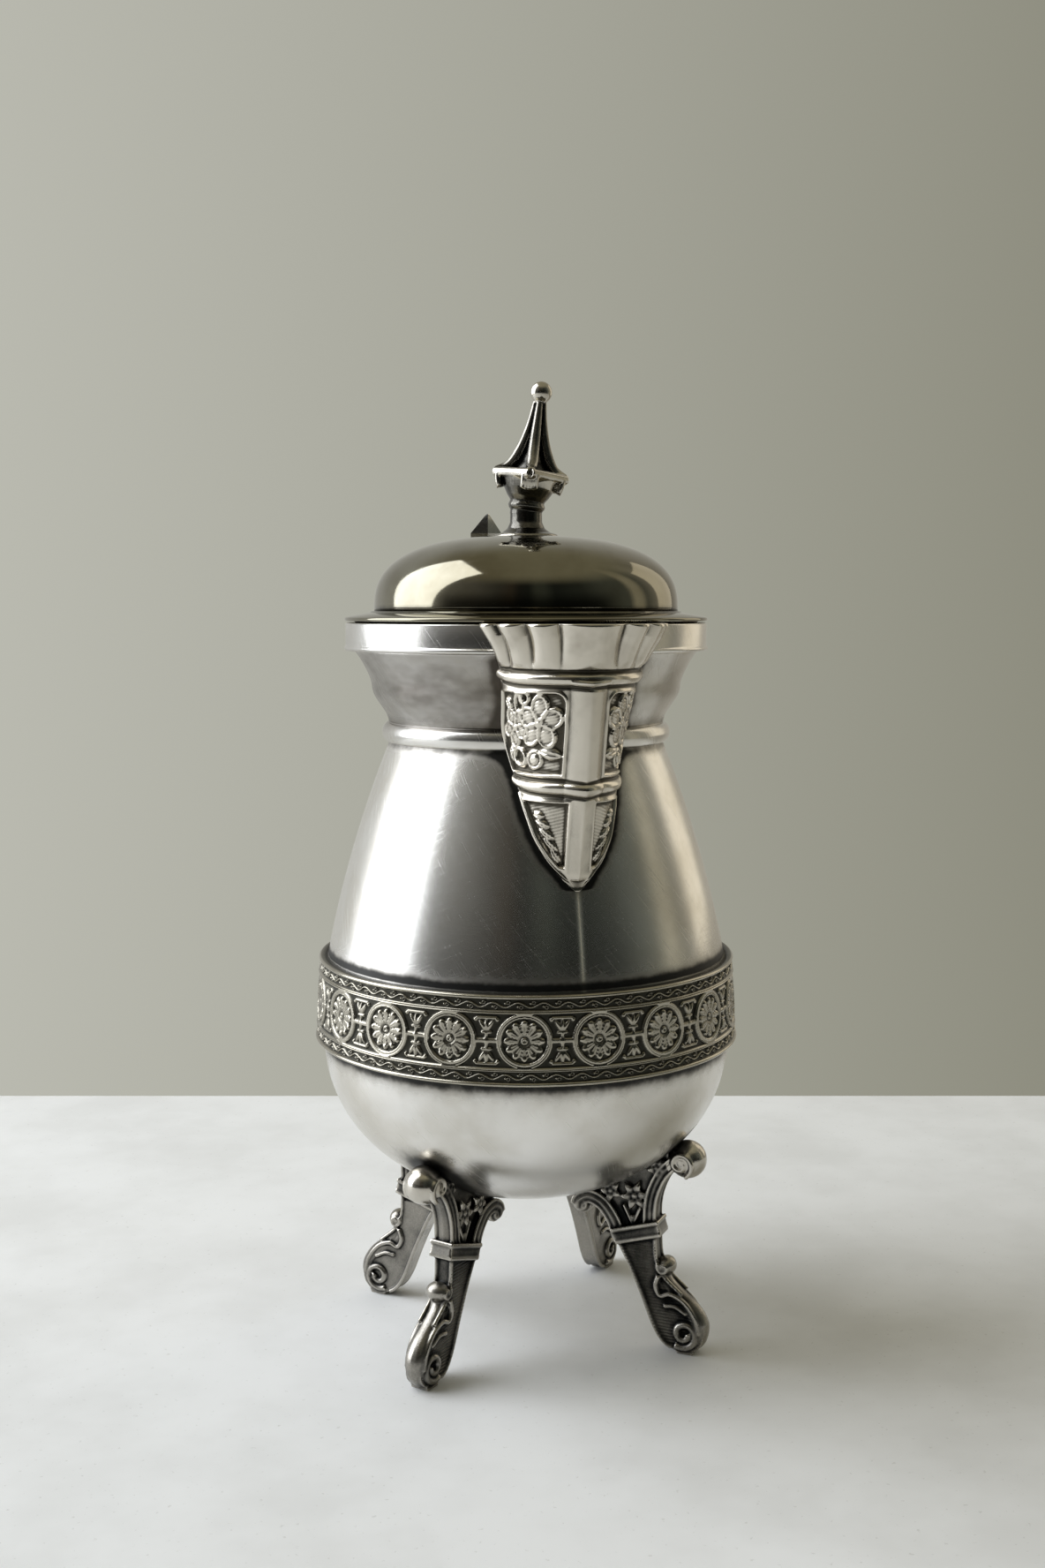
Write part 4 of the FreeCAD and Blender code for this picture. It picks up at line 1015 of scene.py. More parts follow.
def ring_of_tiles():
    """Node tree that repeats a tile about the Z axis, joins the seams, moves the ring to the vessel axis
    and sets the material."""
    tree = bpy.data.node_groups.new("ring_of_tiles", "GeometryNodeTree")
    face = tree.interface
    face.new_socket("Tile", in_out="INPUT", socket_type="NodeSocketGeometry")
    for label, kind in (("Count", "NodeSocketInt"), ("Turn", "NodeSocketFloat"), ("Axis", "NodeSocketVector"),
                        ("Material", "NodeSocketMaterial")):
        face.new_socket(label, in_out="INPUT", socket_type=kind)
    face.new_socket("Ring", in_out="OUTPUT", socket_type="NodeSocketGeometry")
    given = add(tree, "NodeGroupInput").outputs
    points = add(tree, "GeometryNodePoints", {"Count": given["Count"]})
    index = add(tree, "GeometryNodeInputIndex").outputs[0]
    step = add(tree, "ShaderNodeMath", {0: 2 * math.pi, 1: given["Count"]}, operation="DIVIDE")
    angle = add(tree, "ShaderNodeMath", {0: index, 1: step, 2: given["Turn"]}, operation="MULTIPLY_ADD")
    turn = add(tree, "ShaderNodeCombineXYZ", {2: angle}).outputs[0]
    copies = add(tree, "GeometryNodeInstanceOnPoints", {
        "Points": points.outputs[0], "Instance": given["Tile"], "Rotation": turn})
    real = add(tree, "GeometryNodeRealizeInstances", {0: copies.outputs[0]})
    joined = add(tree, "GeometryNodeMergeByDistance", {"Geometry": real.outputs[0], "Distance": 2e-6})
    placed = add(tree, "GeometryNodeTransform", {"Geometry": joined.outputs[0], "Translation": given["Axis"]})
    real_again = add(tree, "GeometryNodeRealizeInstances", {0: placed.outputs[0]})
    coloured = add(tree, "GeometryNodeSetMaterial", {
        "Geometry": real_again.outputs[0], "Material": given["Material"]})
    add(tree, "NodeGroupOutput", {0: coloured.outputs[0]})
    return tree


def run_tree(thing, tree, values):
    """Sets a node modifier's inputs by their identifiers, makes its result plain and removes it."""
    modifier = thing.modifiers.new("pattern", "NODES")
    modifier.node_group = tree
    for item in tree.interface.items_tree:
        if item.item_type == "SOCKET" and item.in_out == "INPUT" and item.name in values:
            modifier[item.identifier] = values[item.name]
    return applied(thing)


class PITCHER_OT_band(bpy.types.Operator):
    """Rolls the ornamental band: a ring of rosette tiles between two vine borders."""
    bl_idname = "pitcher.band"
    bl_label = "Roll the band"

    def execute(self, context):
        settings = context.scene.pitcher.band
        ground, relief = settings.ground / MM, settings.relief / MM
        count = settings.rosettes
        pitch_angle = 2 * math.pi / count
        pitch = pitch_angle * (wall_r(0.5 * (BAND_BOTTOM + BAND_TOP)) + ground)
        tree = ring_of_tiles()
        border = 3.1
        middle = 0.5 * (BAND_BOTTOM + BAND_TOP)

        def middle_strip(u, z):
            edge = BAND_HEIGHT / 2 - border
            bead = round_ridge(np.abs(z - middle) - (edge - 0.05), 0.28)
            return np.maximum(middle_relief(u, z - middle, pitch), bead)

        def border_strip(edge, inward):
            def draw(u, z):
                depth = (z - edge) * inward
                bead = 1.12 * round_ridge(depth - 0.42, 0.44)
                second = 0.8 * round_ridge(depth - 2.86, 0.22)
                return np.maximum(np.maximum(bead, second), border_relief(u, depth - 1.78, pitch, 0.85))
            return draw

        strips = (
            ("band_rosettes", BAND_BOTTOM + border, BAND_TOP - border, 83, 62, middle_strip),
            ("band_lower_vine", BAND_BOTTOM, BAND_BOTTOM + border, 120, 40, border_strip(BAND_BOTTOM, 1.0)),
            ("band_upper_vine", BAND_TOP - border, BAND_TOP, 120, 40, border_strip(BAND_TOP, -1.0)))
        for name, low, high, columns, rows, draw in strips:
            tile = tile_mesh(name, low, high, columns, rows, ground, relief, pitch_angle, draw)
            strip = new_object(name, tile)
            run_tree(strip, tree, {
                "Count": count, "Turn": settings.turn, "Axis": (AXIS[0] * MM, AXIS[1] * MM, 0.0),
                "Material": material("band")})
            weld(strip.data)
            dress(strip, "band", "relief_silver", "vessel", "body_band")
        return {"FINISHED"}


# ------------------------------------------------------------------ spout

def spout_section(vessel, half, reach, t, grow, fullness=1.8):
    """Plan points of the spout at one height: t runs 0 to pi from the left root over the nose."""
    root = math.sqrt(max(vessel ** 2 - half ** 2, 1.0))
    nose = max(reach + grow - root, 0.05)
    w = max(half + grow, 0.15)
    c, s = np.cos(t), np.sin(t)
    x = -w * np.sign(c) * np.abs(c) ** (2 / fullness)
    y = -(root + nose * s ** (2 / fullness))
    return x, y


def panel_inset(p, reach, z, near, far, low, high):
    """How far inside a panel's outline a point is; p is the distance from the ridge, reach its largest."""
    return np.minimum.reduce([p - near, reach - far - p, high - z, z - low])


def frond(a, z, low):
    """Leaf scroll of the lower panel: overlapping lobes that climb outwards from the rib."""
    height = np.zeros_like(a)
    for ca, cz, angle, long in ((8.6, -5.2, 0.25, 1.5), (7.6, -6.6, 0.45, 1.9), (6.5, -8.4, 0.6, 2.1),
                                (5.4, -10.4, 0.75, 2.1), (4.3, -12.4, 0.95, 1.8)):
        body = lobe(a, z, ca, low + cz, angle, long, 0.8)
        midrib = 0.25 * bell(local(a, z, ca, low + cz, angle)[1], 0.12)
        height = np.maximum(height, body - midrib * (body > 0))
    return height


def spout_relief(p, reach, z, settings):
    """Height of the casting's ornament over the plain spout, in millimetres."""
    a = np.abs(p)
    depth = settings.panel_depth / MM
    low, high = LOWER_MOULDING, UPPER_MOULDING
    upper = panel_inset(a, reach, z, 4.1, 1.3, low + 2.3, high - 2.4)
    corner = 2.2 - np.hypot(np.maximum(6.3 - a, 0), np.maximum(z - high + 4.6, 0))
    upper = np.where((a < 6.3) & (z > high - 4.6), np.minimum(upper, corner), upper)
    lower = panel_inset(a, reach, z, 2.5, 1.5, SPOUT_FOOT + 4.4, low - 2.6)
    inset = np.maximum(upper, lower)
    ground = smooth_mask(inset, 0.0, 0.35)
    hatch = 0.035 * np.sin(2 * math.pi * (z + 0.25 * a) / 0.62)
    height = (hatch - depth) * ground + 0.26 * bell(inset + 0.1, 0.34)
    ridge = 1.35 * np.clip(1 - a / 3.5, 0, 1) * smooth_mask(-inset, -0.2, 0.4)
    height = height + ridge * (z < high)
    border = reach - a
    height = height + 0.35 * bell(border - 0.55, 0.42) * (z < low - 1.2)
    flowers = np.maximum.reduce([
        blossom(a, z, 9.4, low + 11.6, 4.7, 5, 0.35),
        blossom(a, z, 15.6, low + 10.6, 3.6, 5, 1.0),
        0.95 * lobe(a, z, 10.6, low + 4.9, 0.2, 2.2, 2.0)
        - 0.45 * bell(np.abs(np.hypot(a - 10.4, z - low - 4.9) - 1.15), 0.18),
        leaf(a, z, 6.9, low + 6.1, 0.15, 5.4, 2.5),
        loop(a, z, 14.2, low + 14.9, 1.3, 1.7, 1.1, 0.5),
        loop(a, z, 12.9, low + 15.9, 0.0, 1.1, 1.0, 0.45),
        loop(a, z, 14.4, low + 5.2, 0.5, 1.8, 1.4, 0.5),
        leaf(a, z, 17.0, low + 5.6, 1.2, 3.6, 2.2),
        leaf(a, z, 17.4, low + 14.6, 0.9, 3.8, 2.2)])
    scrolls = frond(a, z, low)
    shown = smooth_mask(upper, -0.05, 0.25)
    shown_low = smooth_mask(lower, -0.05, 0.25)
    height = height + 1.25 * depth * flowers * shown + 1.0 * depth * scrolls * shown_low
    ends = 1.0 * (a / reach) ** 6
    for level, proud in ((high, 0.95), (low, 0.8)):
        away = z - level - ends
        height = height + proud * round_ridge(away, 1.05) - 0.22 * bell(np.abs(away) - 1.35, 0.3)
    share = p / reach
    cuts = np.array([-1.0, -0.79, -0.53, -0.265, 0.265, 0.53, 0.79, 1.0])
    k = np.clip(np.searchsorted(cuts, share.ravel()) - 1, 0, len(cuts) - 2).reshape(share.shape)
    middle, width = 0.5 * (cuts[k] + cuts[k + 1]), 0.5 * (cuts[k + 1] - cuts[k])
    crown = 1 - np.abs((share - middle) / width) ** 2.2
    lip = smooth_mask(z, high + 0.9, high + 3.4)
    deep = settings.flute_depth / MM * (0.45 + 0.55 * smooth_mask(z, high, RIM_TOP))
    return height + lip * deep * (crown - 0.5)


def even_section(vessel, half, reach, grow, columns):
    """Evenly spaced plan points of the spout at one height, and how far along the line each one is."""
    x, y = spout_section(vessel, half, reach, np.linspace(0, math.pi, columns), grow)
    step = np.concatenate([[0], np.cumsum(np.hypot(np.diff(x), np.diff(y)))])
    even = np.linspace(0, step[-1], columns)
    return np.interp(even, step, x), np.interp(even, step, y), even


class PITCHER_OT_spout(bpy.types.Operator):
    """Casts the spout: fluted lip, two mouldings, flower panels and a ridged rib down to its tip."""
    bl_idname = "pitcher.spout"
    bl_label = "Cast the spout"

    def execute(self, context):
        settings = context.scene.pitcher.spout
        wall = settings.wall / MM
        rows, columns = 244, 200
        z = np.linspace(SPOUT_FOOT, RIM_TOP, rows)
        levels = np.stack([
            np.interp(z, SPOUT_ROWS[:, 0], SPOUT_ROWS[:, 1]),
            np.interp(z, SPOUT_ROWS[:, 0], SPOUT_ROWS[:, 2])], axis=1)
        for k in range(2):
            levels[:, k] = eased(levels[:, k], 6)
        vessel = eased(np.array([float(vessel_r(height)) for height in z]), 16)
        outer = np.zeros((rows, columns, 3))
        inner = np.zeros((rows, columns, 3))
        distance = np.zeros((rows, columns))
        for j in range(rows):
            level = np.full(columns, z[j])
            x, y, even = even_section(vessel[j], levels[j, 0], levels[j, 1], 0.0, columns)
            outer[j] = np.stack([x, y, level], axis=1)
            distance[j] = even - 0.5 * even[-1]
            x, y, even = even_section(vessel[j], levels[j, 0], levels[j, 1], -wall, columns)
            inner[j] = np.stack([x, y + 0.3, level], axis=1)
        reach = np.abs(distance).max(axis=1, keepdims=True).repeat(columns, 1)
        zz = z[:, None].repeat(columns, 1)
        height = spout_relief(distance, reach, zz, settings)
        along = np.gradient(outer, axis=1)
        up = np.gradient(outer, axis=0)
        normal = np.cross(along, up)
        normal /= np.linalg.norm(normal, axis=2, keepdims=True) + 1e-9
        fade = smooth_mask(reach - np.abs(distance), 0.0, 0.8)
        fade = fade * smooth_mask(zz, SPOUT_FOOT + 0.5, SPOUT_FOOT + 3.0)
        relief = height * fade
        outer = outer + normal * relief[..., None]
        outer[..., 2] = np.minimum(outer[..., 2], RIM_TOP)
        scallop = np.clip(relief[-1], -1.0, 1.0)
        rim = 0.5 * (outer[-1] + inner[-1])
        rim[:, 2] = RIM_TOP + 0.12
        outer[-1, :, 2] = RIM_TOP + 0.02 * scallop
        inner[-1, :, 2] = RIM_TOP
        sunk = outer[:, [0, -1]].copy()
        points = np.vstack([outer, rim[None], inner[::-1]])
        points[:rows, 0, 1] = sunk[:, 0, 1] + 0.5
        points[:rows, -1, 1] = sunk[:, 1, 1] + 0.5
        faces = grid_faces(len(points), columns, True, False).tolist() + side_caps(len(points), columns)
        c, s = math.cos(SPOUT_TURN), math.sin(SPOUT_TURN)
        flat = points.reshape(-1, 3) @ np.array([[c, s, 0], [-s, c, 0], [0, 0, 1.0]])
        mesh = new_mesh("spout_casting", put(flat), faces)
        weld(mesh)
        rubbed(mesh, 28, 0.30)
        lip = smooth_mask(point_data(mesh)[0][:, 2], UPPER_MOULDING + 1.2, UPPER_MOULDING + 2.6)
        wiped_and_lit(mesh, 0.45 * lip, 0.70)
        casting = new_object("spout_casting", mesh)
        dress(casting, "spout", "relief_silver", "vessel", "spout")
        return {"FINISHED"}


# ------------------------------------------------------------------ castings built from simple closed forms

class Casting:
    """Collects closed forms that overlap, to be fused into one surface."""

    def __init__(self):
        self.points = []
        self.faces = []
        self.count = 0

    def join(self, points, faces):
        """Takes in one closed form."""
        self.points.append(np.asarray(points, dtype=float))
        self.faces.extend([[int(i) + self.count for i in face] for face in faces])
        self.count += len(points)

    def bar(self, path, radii, sides=10, squash=1.0, across=(0.0, 1.0, 0.0)):
        """Round or oval bar along a path; squash widens it in the across direction."""
        path = np.asarray(path, dtype=float)
        radii = np.broadcast_to(np.asarray(radii, dtype=float), (len(path),))
        tangent = np.gradient(path, axis=0)
        tangent /= np.linalg.norm(tangent, axis=1, keepdims=True) + 1e-9
        across = np.asarray(across, dtype=float)
        side = across - tangent * (tangent @ across)[:, None]
        side /= np.linalg.norm(side, axis=1, keepdims=True) + 1e-9
        other = np.cross(tangent, side)
        t = np.linspace(0, 2 * math.pi, sides, endpoint=False)
        rings = (path[:, None] + radii[:, None, None] * (squash * np.cos(t)[None, :, None] * side[:, None]
                                                         + np.sin(t)[None, :, None] * other[:, None]))
        faces = grid_faces(len(path), sides, False, True).tolist()
        last = (len(path) - 1) * sides
        faces.append(list(range(sides))[::-1])
        faces.append([last + i for i in range(sides)])
        self.join(rings.reshape(-1, 3), faces)

    def ball(self, centre, radii, rings=12, sides=20):
        """Ball with its own radius along each axis."""
        v = np.linspace(0, math.pi, rings + 1)[1:-1]
        t = np.linspace(0, 2 * math.pi, sides, endpoint=False)
        vv, tt = np.meshgrid(v, t, indexing="ij")
        unit = np.stack([np.sin(vv) * np.cos(tt), np.sin(vv) * np.sin(tt), np.cos(vv)], axis=-1)
        unit = np.vstack([unit.reshape(-1, 3), [0, 0, 1], [0, 0, -1]])
        faces = grid_faces(rings - 1, sides, False, True).tolist()
        top, bottom = len(unit) - 2, len(unit) - 1
        last = (rings - 2) * sides
        for i in range(sides):
            faces.append([top, (i + 1) % sides, i])
            faces.append([bottom, last + i, last + (i + 1) % sides])
        self.join(np.asarray(centre) + unit * np.asarray(radii), faces)

    def slab(self, outline, half):
        """Flat plate in the XZ plane, half its thickness each way along Y."""
        outline = np.asarray(outline, dtype=float)
        n = len(outline)
        front = np.stack([outline[:, 0], np.full(n, -half), outline[:, 1]], axis=1)
        back = front * [1, -1, 1]
        sides = [[i, (i + 1) % n, n + (i + 1) % n, n + i] for i in range(n)]
        self.join(np.vstack([front, back]), sides + [list(range(n))[::-1], [n + i for i in range(n)]])

    def turned(self, outline, sides=32):
        """Solid of revolution about the Z axis from (r, z) points."""
        outline = np.asarray(outline, dtype=float)
        t = np.linspace(0, 2 * math.pi, sides, endpoint=False)
        points = np.stack([outline[:, 0, None] * np.cos(t), outline[:, 0, None] * np.sin(t),
                           outline[:, 1, None].repeat(sides, 1)], axis=-1).reshape(-1, 3)
        faces = grid_faces(len(outline), sides, False, True).tolist()
        last = (len(outline) - 1) * sides
        faces.append(list(range(sides))[::-1])
        faces.append([last + i for i in range(sides)])
        self.join(points, faces)

    def mirrored_bar(self, path, level, radii, sides=8):
        """The same raised line on both faces of a plate; path is (x, z) points."""
        path = np.asarray(path, dtype=float)
        for side in (-level, level):
            self.bar(np.stack([path[:, 0], np.full(len(path), side), path[:, 1]], axis=1), radii, sides)

    def mirrored_ball(self, x, z, level, radii):
        """The same ball on both faces of a plate."""
        for side in (-level, level):
            self.ball((x, side, z), radii)

    def fused(self, name, voxel_mm, smooth_rounds=3):
        """One closed surface round all the forms, lightly smoothed as a casting is."""
        mesh = new_mesh(name, np.vstack(self.points) * MM, self.faces)
        work = bmesh.new()
        work.from_mesh(mesh)
        bmesh.ops.recalc_face_normals(work, faces=work.faces)
        work.to_mesh(mesh)
        work.free()
        thing = new_object(name, mesh)
        remesh = thing.modifiers.new("fuse", "REMESH")
        remesh.mode = "VOXEL"
        remesh.voxel_size = voxel_mm * MM
        soften = thing.modifiers.new("soften", "SMOOTH")
        soften.factor = 0.5
        soften.iterations = smooth_rounds
        applied(thing)
        thing.data.polygons.foreach_set("use_smooth", [True] * len(thing.data.polygons))
        return thing


def spiral(cx, cz, outer, inner, start, turns, count=48):
    """Points of a spiral that winds in from an outer to an inner radius."""
    t = np.linspace(0, 1, count)
    r = outer + (inner - outer) * t ** 0.8
    angle = start + 2 * math.pi * turns * t
    return np.stack([cx + r * np.cos(angle), cz + r * np.sin(angle)], axis=1)


def circle(cx, cz, r, count=36):
    """Outline of a disc."""
    t = np.linspace(0, 2 * math.pi, count, endpoint=False)
    return np.stack([cx + r * np.cos(t), cz + r * np.sin(t)], axis=1)


FOOT_BALL = (34.4, 38.9)    # centre of the ball at the foot's outer top: distance from the axis, height
FOOT_STRAP = 21.5           # height at which the foot's plate meets its binding


def foot_casting(voxel):
    """Scroll foot in its own plane: x is the distance from the vessel axis, y its thickness."""
    casting = Casting()
    inner_edge = through([(20.0, 21.6), (22.6, 16.8), (25.3, 11.0), (27.9, 4.8), (30.1, 1.7),
                          (33.0, 0.3)], 30)
    outer_edge = through([(36.4, 0.3), (38.5, 2.9), (38.9, 6.2), (37.2, 9.4), (34.2, 12.1), (30.4, 15.4),
                          (29.0, 18.6), (28.7, 22.4)], 40)
    set_back = through([(35.0, 0.6), (36.0, 3.2), (36.2, 6.0), (34.8, 8.4), (32.0, 10.8), (29.4, 14.0),
                        (28.6, 18.6), (28.3, 22.4)], 40)
    casting.slab(np.vstack([inner_edge, set_back]), 1.75)
    casting.mirrored_bar(inner_edge[:-3] + [0.35, 0.1], 1.7, 0.45)
    casting.mirrored_bar(outer_edge[22:] + [-0.4, -0.1], 1.7, 0.42)
    front = through([(35.6, 1.75), (36.9, 3.4), (37.1, 6.0), (35.6, 8.5), (32.9, 10.8), (30.3, 13.6),
                     (29.6, 16.0)], 40)
    casting.bar(np.stack([front[:, 0], np.zeros(40), front[:, 1]], axis=1),
                np.interp(np.linspace(0, 1, 40), [0, 0.3, 0.7, 1], [1.7, 1.9, 1.6, 1.1]), 16, 1.22)
    inner_strap = through([(20.9, 21.6), (19.6, 25.2), (17.2, 28.2), (14.4, 29.2), (12.4, 28.2),
                           (11.9, 26.9)], 30)
    outer_strap = through([(27.6, 22.6), (27.2, 26.6), (27.7, 31.2), (29.6, 35.6), (32.6, 38.9)], 26)
    for strap, half in ((inner_strap, 1.5), (outer_strap, 1.35)):
        path = np.stack([strap[:, 0], np.zeros(len(strap)), strap[:, 1]], axis=1)
        casting.bar(path, half, 12, 1.55)
        side = np.gradient(strap, axis=0)
        side = np.stack([-side[:, 1], side[:, 0]], axis=1)
        side /= np.linalg.norm(side, axis=1, keepdims=True)
        for shift in (-0.75 * half, 0.75 * half):
            casting.mirrored_bar(strap + side * shift, 1.85, 0.36)
    web = np.vstack([[(20.6, 22.8)], inner_strap[6:22], [(13.0, 33.5), (31.0, 44.0)],
                     outer_strap[::-1][2:20]])
    casting.slab(web, 0.95)
    casting.slab(circle(12.9, 27.6, 2.1), 1.5)
    casting.mirrored_bar(spiral(12.9, 27.6, 2.1, 0.5, 1.3, 1.15), 1.75, 0.42)
    casting.ball((FOOT_BALL[0], 0, FOOT_BALL[1]), (3.7, 3.6, 3.7), 20, 32)
    casting.mirrored_bar(spiral(33.8, 38.6, 2.7, 0.8, -1.2, 1.2), 3.2, 0.5)
    lean = math.radians(17)
    along = np.array([math.cos(lean), math.sin(lean)])
    upward = np.array([-math.sin(lean), math.cos(lean)])
    centre = np.array([24.6, 23.3])
    for offset, half_run, half_rise, half in (
            (0, 5.0, 1.05, 2.45), (1.25, 5.2, 0.35, 2.7), (-1.25, 4.9, 0.35, 2.6)):
        middle = centre + upward * offset
        corners = [middle + along * a * half_run + upward * b * half_rise
                   for a, b in ((-1, -1), (1, -1), (1, 1), (-1, 1))]
        casting.slab(corners, half)
    for x, z, radius, turn in ((24.0, 30.6, 3.4, 0.2), (19.0, 31.0, 2.5, 0.8), (28.6, 36.8, 2.4, -0.3)):
        petals = 6 if radius > 3 else 5
        for k in range(petals):
            angle = turn + 2 * math.pi * k / petals
            tip = (x + radius * math.cos(angle), z + radius * math.sin(angle))
            line = through([(x, z), (0.5 * (x + tip[0]), 0.5 * (z + tip[1])), tip], 8)
            for side in (-1, 1):
                rise = side * (1.0 + 0.75 * np.sin(np.linspace(0.2, 2.6, 8)))
                path = np.stack([line[:, 0], rise, line[:, 1]], axis=1)
                casting.bar(path, np.array([0.35, 0.55, 0.72, 0.8, 0.72, 0.55, 0.35, 0.15]), 8, 0.55)
        casting.mirrored_ball(x, z, 1.6, (0.75, 0.55, 0.75))
    for tip in ((21.6, 28.4), (23.4, 26.4), (25.3, 28.6)):
        path = through([(23.6, 24.4), (0.5 * (23.6 + tip[0]), 0.5 * (24.4 + tip[1])), tip], 8)
        casting.mirrored_bar(path, 1.15, 0.42)
    casting.ball((30.3, 0, 16.9), (1.9, 2.35, 1.9), 14, 24)
    casting.mirrored_bar(spiral(30.1, 16.8, 1.3, 0.35, 2.4, 1.2), 2.05, 0.36)
    casting.slab(circle(34.9, 3.8, 3.4), 1.75)
    casting.mirrored_bar(spiral(34.5, 4.1, 3.0, 0.8, -2.2, 1.4), 1.85, 0.68)
    casting.mirrored_bar(through([(29.2, 15.2), (28.6, 13.0), (29.6, 11.2), (31.6, 11.8), (34.4, 10.6),
                                  (36.7, 7.6), (37.5, 4.4)], 26), 1.95, 0.5)
    casting.mirrored_bar(through([(30.4, 9.2), (32.6, 9.4), (35.0, 8.2)], 14), 1.95, 0.42)
    casting.slab([(33.0, 0.0), (36.4, 0.0), (36.6, 1.2), (32.6, 1.2)], 1.9)
    return casting.fused("foot_pattern", voxel)


def trim_to_vessel(co):
    """Pushes points that would be inside the bowl back to just under its outer surface."""
    r = np.hypot(co[:, 0], co[:, 1])
    n = BOWL_FULLNESS
    h = BAND_BOTTOM - BOWL_BOTTOM
    share = np.clip((BAND_BOTTOM - co[:, 2]) / h, 0, 1)
    surface = BAND_BOTTOM - h * np.clip(1 - np.clip(r / BOWL_R, 0, 1) ** n, 0, 1) ** (1 / n)
    over = (co[:, 2] > surface + 0.25) & (share > 0)
    co[over, 2] = surface[over] + 0.25
    return co


class PITCHER_OT_feet(bpy.types.Operator):
    """Casts the four scroll feet from one pattern and solders them under the bowl."""
    bl_idname = "pitcher.feet"
    bl_label = "Cast the feet"

    def execute(self, context):
        voxel = context.scene.pitcher.casting.voxel / MM
        pattern = foot_casting(voxel)
        rubbed(pattern.data, 26, 0.42)
        base, normal = point_data(pattern.data)
        # Partly wear and partly a painted highlight: the outward, upward side of each ball is made brighter.
        ball = smooth_mask(4.3 - np.hypot(base[:, 0] - FOOT_BALL[0], base[:, 2] - FOOT_BALL[1]), 0, 0.5)
        ball = 1.15 * ball * smooth_mask(normal[:, 0] + 0.7 * normal[:, 2], -0.6, 0.2)
        back = smooth_mask(-normal[:, 0], 0.5, 0.9) * (base[:, 2] < FOOT_STRAP)
        front = 0.7 * smooth_mask(normal[:, 0], 0.35, 0.9)
        front = front * np.where(base[:, 2] > 17.5, 0.45, 1.0)
        wiped_and_lit(pattern.data, 0.85 * np.maximum(front, back), 0.66)
        wiped_and_lit(pattern.data, 0.9 * ball, 0.80)
        plate = smooth_mask(np.abs(normal[:, 1]), 0.8, 0.97) * (base[:, 2] < FOOT_STRAP)
        store(pattern.data, "ribs", plate * smooth_mask(2.2 - np.abs(base[:, 1]), 0.0, 0.3))
        base[:, 2] = np.maximum(base[:, 2], 0.0)
        for node, degrees in (("foot_front_right", FRONT_FOOT_AZ), ("foot_front_left", -FRONT_FOOT_AZ),
                              ("foot_rear_right", REAR_FOOT_AZ), ("foot_rear_left", -REAR_FOOT_AZ)):
            angle = math.radians(degrees)
            out = np.array([math.sin(angle), -math.cos(angle), 0.0])
            aside = np.array([math.cos(angle), math.sin(angle), 0.0])
            co = base[:, :1] * out + base[:, 1:2] * aside + base[:, 2:] * np.array([0, 0, 1.0])
            mesh = pattern.data.copy()
            mesh.vertices.foreach_set("co", put(trim_to_vessel(co)).ravel())
            mesh.update()
            # Painted reflection: the rear feet's plate faces are made much lighter than the front feet's, for
            # the window light they mirror.
            if abs(degrees) > 90:
                wiped_and_lit(mesh, 0.6 * plate, 0.66)
                store(mesh, "ribs", np.zeros(len(mesh.vertices)))
            else:
                wiped_and_lit(mesh, 0.3 * plate, 0.58)
            weld(mesh)
            foot = new_object("scroll_" + node, mesh)
            dress(foot, "cast", "cast_silver", "vessel", node)
        bpy.data.objects.remove(pattern)
        return {"FINISHED"}


def leaning_matrix(pivot_z, lean, turn):
    """Turns about the vertical, then leans about a point on the axis."""
    spin = Matrix.Rotation(turn, 4, "Z")
    tip = Matrix.Rotation(lean, 4, Vector((-math.sin(turn), math.cos(turn), 0)))
    up = Matrix.Translation((0, 0, pivot_z))
    return up @ tip @ up.inverted() @ spin


FINIAL_VOXEL = 0.16         # surface steps of the castings with the finest and the broadest detail
HANDLE_VOXEL = 0.24


